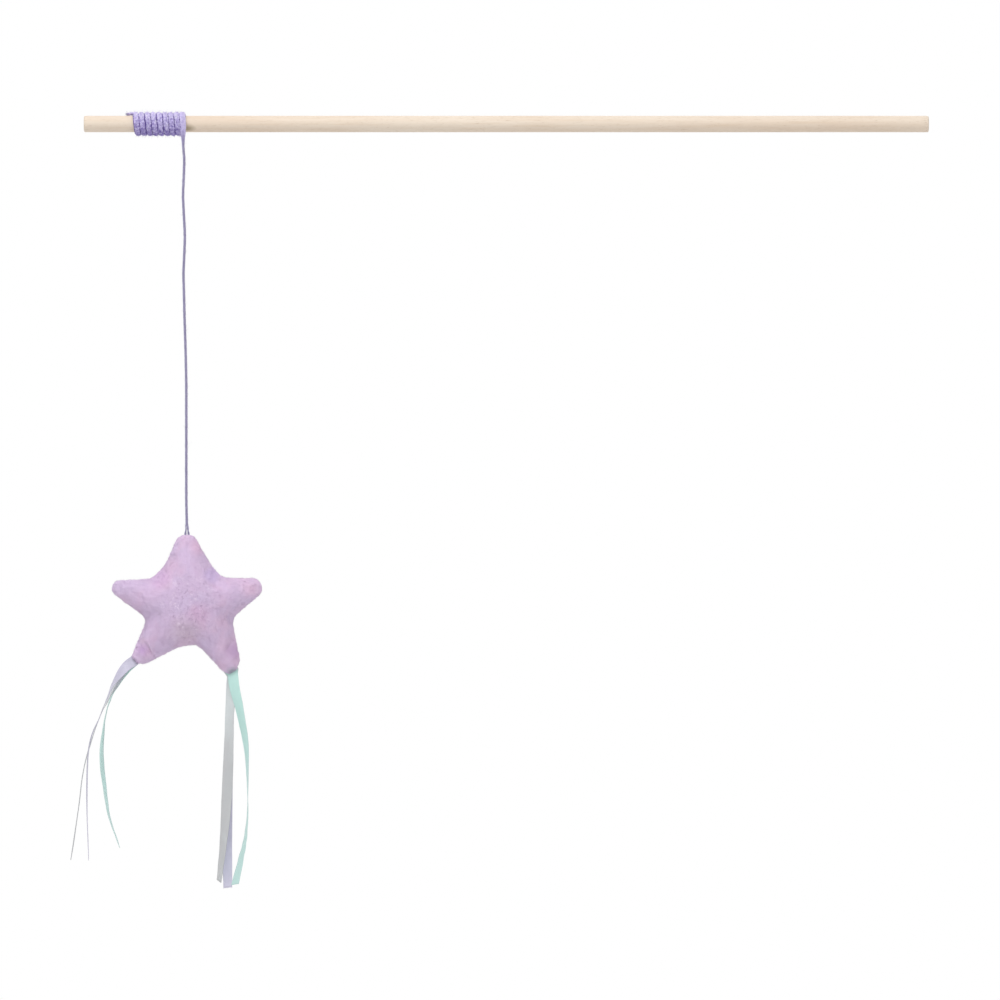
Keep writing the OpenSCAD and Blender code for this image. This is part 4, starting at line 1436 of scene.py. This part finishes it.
@dataclass
class RibbonTail:
    """One satin tail: where it is sewn in, its place in the stack and its route from the seam."""

    name: str
    star: StarToy
    leg: StarPoint
    colourway: Colourway
    layer: int
    slant: float
    route: Route
    width: float = 5.0
    thickness: float = 0.26
    stack_step: float = 0.65
    seam_gap: float = 0.3
    tab: float = 3.6
    spans: int = 9
    slant_run: float = 7.0
    loose_threads: int = 9
    edge_steps: Numbers = (-1, -0.97, -0.9, -0.6, -0.3, 0, 0.3, 0.6, 0.9, 0.97, 1)
    firmness: Numbers = (0.35, 0.95, 0.8, 0.72, 0.7, 0.7, 0.7, 0.72, 0.8, 0.95, 0.35)

    def smooth_route(self) -> Rows:
        """Rounds the route's corners into one smooth curve.

        Returns:
            Offsets in millimetres and the turn of the ribbon's face in degrees.
        """
        rows = np.array(self.route, float)
        padded = np.concatenate([rows[:1], rows, rows[-1:]])
        out = []
        for i in range(len(rows) - 1):
            a, b, c, d = padded[i:i + 4]
            out += [b + (c - a) * (t / 2) + (2 * a - 5 * b + 4 * c - d) * (t * t / 2)
                    + (3 * b - a - 3 * c + d) * (t ** 3 / 2) for t in np.linspace(0, 1, self.spans, endpoint=False)]
        return np.array(out + [rows[-1]])

    def build(self) -> None:
        """Makes the tail."""
        heading, seam_flat = self.leg.heading, -self.leg.across
        seam = np.array(self.star.middle) + heading * (self.leg.length + self.seam_gap)
        seam = seam + np.array([0, self.layer * self.stack_step, 0])
        smooth = self.smooth_route()
        line = seam + smooth[:, :3]
        facing = unit(np.gradient(line, axis=0))
        flat = unit(np.cross(facing, [0.0, -1.0, 0.0]))
        turn = np.radians(smooth[:, 3])[:, None]
        wide = flat * np.cos(turn) + np.cross(facing, flat) * np.sin(turn)
        stretch = 1 / np.linalg.norm(np.cross(seam_flat, facing[0]))
        settle = smooth_step(0.0, 2.4 if stretch > 1.05 else 5.0, np.linalg.norm(smooth[:, :3], axis=1))[:, None]
        wide = seam_flat * (1 - settle) * stretch + wide * settle
        tab = np.linspace(-self.tab, 0, 6)[:-1, None]
        whole = np.concatenate([seam + heading * tab, line])
        widths = np.concatenate([np.repeat(seam_flat[None], len(tab), 0) * stretch, wide])
        direction = unit(np.gradient(whole, axis=0))
        direction[:len(tab) + 1] = heading
        pot = MeshPot()
        self.sweep_ribbon(pot, whole, widths, unit(np.cross(direction, widths)))
        piece = pot.finish(self.name + "_satin")
        dress(piece, self.colourway.value)
        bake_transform(piece)
        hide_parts(self.name + "_ribbon", self.name.split("_")[0] + "_ribbon_ends")

    def sweep_ribbon(self, pot: MeshPot, line: Rows, wide: Rows, thick: Rows) -> None:
        """Sweeps a thin section with firm edges, cuts the lower end on a slant and frays it a little.

        Args:
            pot: where the surfaces go.
            line: the centreline.
            wide: the direction across the ribbon.
            thick: the direction through it.
        """
        along = travel(line)
        drift = 2 * ripple(np.arange(len(line)), 2.0 / 9.0, 3.0 + len(self.name) + self.layer, 7.3)
        steps, half = np.array(self.edge_steps), self.width / 2
        firm = np.array(self.firmness) * self.thickness / 2
        section = []
        for d in drift * smooth_step(6.0, 20.0, along):
            curl = (0.1 + 0.2 * d) * (steps ** 2 - 0.4)
            upper, lower = (np.stack([curl + s * firm, steps * half], -1) for s in (1, -1))
            section.append(np.concatenate([upper, lower[::-1]]))
        section = np.array(section)
        pot.sweep(line, thick, wide, section, 0.0, along)
        rows = pot.points[0].reshape(len(line), section.shape[1], 3)
        cut = smooth_step(along[-1] - self.slant_run, along[-1], along)
        lean = np.interp(section[-1, :, 1], [-half, half], [-self.slant, self.slant])
        heading = unit(line[-1] - line[-3])
        rows += heading * (cut[:, None] * lean)[..., None]
        pot.points[0] = rows.reshape(-1, 3)
        rng = np.random.default_rng(len(self.name) * 7 + self.layer)
        t = np.linspace(0, 1, 4)[:, None]
        for _ in range(self.loose_threads):
            root = rows[-1, int(rng.integers(0, len(steps)))] - heading * 0.2
            aim = unit(heading + rng.normal(0, 0.35, 3))
            pot.fibre(root + aim * rng.uniform(0.3, 1.1) * t + thick[-1] * rng.normal(0, 0.2) * t * t, 0.03, 0.0)


@dataclass
class Tails:
    """The six tails, three in each leg, stacked from front to back."""

    star: StarToy
    left_lavender: Route = (
        (0, 0, 0, 10), (-4.4, -1.8, -3.4, 29), (-9.4, -3.4, -10.4, 69), (-12.6, -4.8, -17.5, 85),
        (-16, -6, -26.4, 90), (-20.7, -7.4, -38.7, 92), (-22.1, -8, -61.4, 92), (-21.2, -8, -93.6, 86))
    left_white: Route = (
        (0, 0, 0, 8), (-4.4, 0, -3.6, 30), (-8.8, 0.1, -11.1, 57), (-12.6, 0.3, -18.2, 75), (-17, 0.5, -28.4, 88),
        (-23.3, 1, -48, 90), (-26.4, 1, -69.5, 90), (-30, 1, -93.7, 88))
    left_mint: Route = (
        (0, 0, 0, 10), (-3.9, 2, -3.9, 32), (-8.1, 4, -10.3, 58), (-11.4, 5.6, -17.4, 80), (-13.9, 6.6, -26.2, 84),
        (-15.6, 7.2, -38.2, 71), (-15.6, 7.6, -50.2, 64), (-14.1, 7.8, -63.2, 70), (-11.9, 7.6, -75.2, 78),
        (-7.5, 7, -88, 86))
    right_mint: Route = (
        (0, 0, 0, 0), (0.9, -1.2, -7, 16), (3.4, -2.6, -17.8, 40), (5.8, -3.4, -30.3, 54), (6.9, -4, -42.3, 72),
        (7.3, -4.4, -60.3, 89), (6.8, -4.4, -72.3, 98), (5.7, -4.2, -80.3, 107), (3.9, -4, -88.3, 118),
        (1.2, -3.8, -100, 132))
    right_white: Route = (
        (0, 0, 0, 0), (-0.7, 0, -7.3, 20), (-1.5, 0.1, -19.3, 33), (-1.9, 0, -34.3, 25), (-2.6, -0.2, -54.3, 4),
        (-3.6, -0.3, -70.3, 30), (-4.9, -0.2, -84.3, 50), (-6.6, 0, -98.6, 62))
    right_lavender: Route = (
        (0, 0, 0, 0), (-0.8, 0.9, -7.3, 18), (-1.5, 1.8, -19.3, 33), (-2.0, 2.6, -34.3, 29),
        (-2.6, 3.2, -54.3, 12), (-2.8, 3.4, -70.3, -8), (-2.7, 3.2, -84.3, -24), (-2.4, 2.8, -101.9, -36))

    def build(self) -> None:
        """Makes the six tails."""
        left, right = self.star.left_leg, self.star.right_leg
        for name, leg, colourway, layer, slant, route in (
                ("left_lavender", left, Colourway.LAVENDER, -1, 0.6, self.left_lavender),
                ("left_white", left, Colourway.WHITE, 0, -0.5, self.left_white),
                ("left_mint", left, Colourway.MINT, 1, 0.8, self.left_mint),
                ("right_mint", right, Colourway.MINT, -1, -0.6, self.right_mint),
                ("right_white", right, Colourway.WHITE, 0, -0.5, self.right_white),
                ("right_lavender", right, Colourway.LAVENDER, 1, 0.2, self.right_lavender)):
            RibbonTail(name, self.star, leg, colourway, layer, slant, route).build()


# ---- Whole ----


def main() -> None:
    """Builds the studio and each sub-assembly in order, and dresses the nodes that keep their own shape."""
    logging.basicConfig(level=logging.INFO, format="%(message)s")
    Studio().build()
    LOG.info("studio ready")
    Cord().build()
    LOG.info("cord made")
    Dowel().build()
    LOG.info("dowel made")
    star = StarToy()
    star.build()
    LOG.info("star made")
    Tails(star).build()
    LOG.info("tails made")
    for node, finish, slot in (("glue_film", GLUE, "glue"), ("seam_thread", THREAD, "thread"),
                               ("left_tack", THREAD, "thread"), ("right_tack", THREAD, "thread")):
        dress(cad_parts[node], finish)
    LOG.info("glue and stitches dressed")


if __name__ == "__main__":
    main()
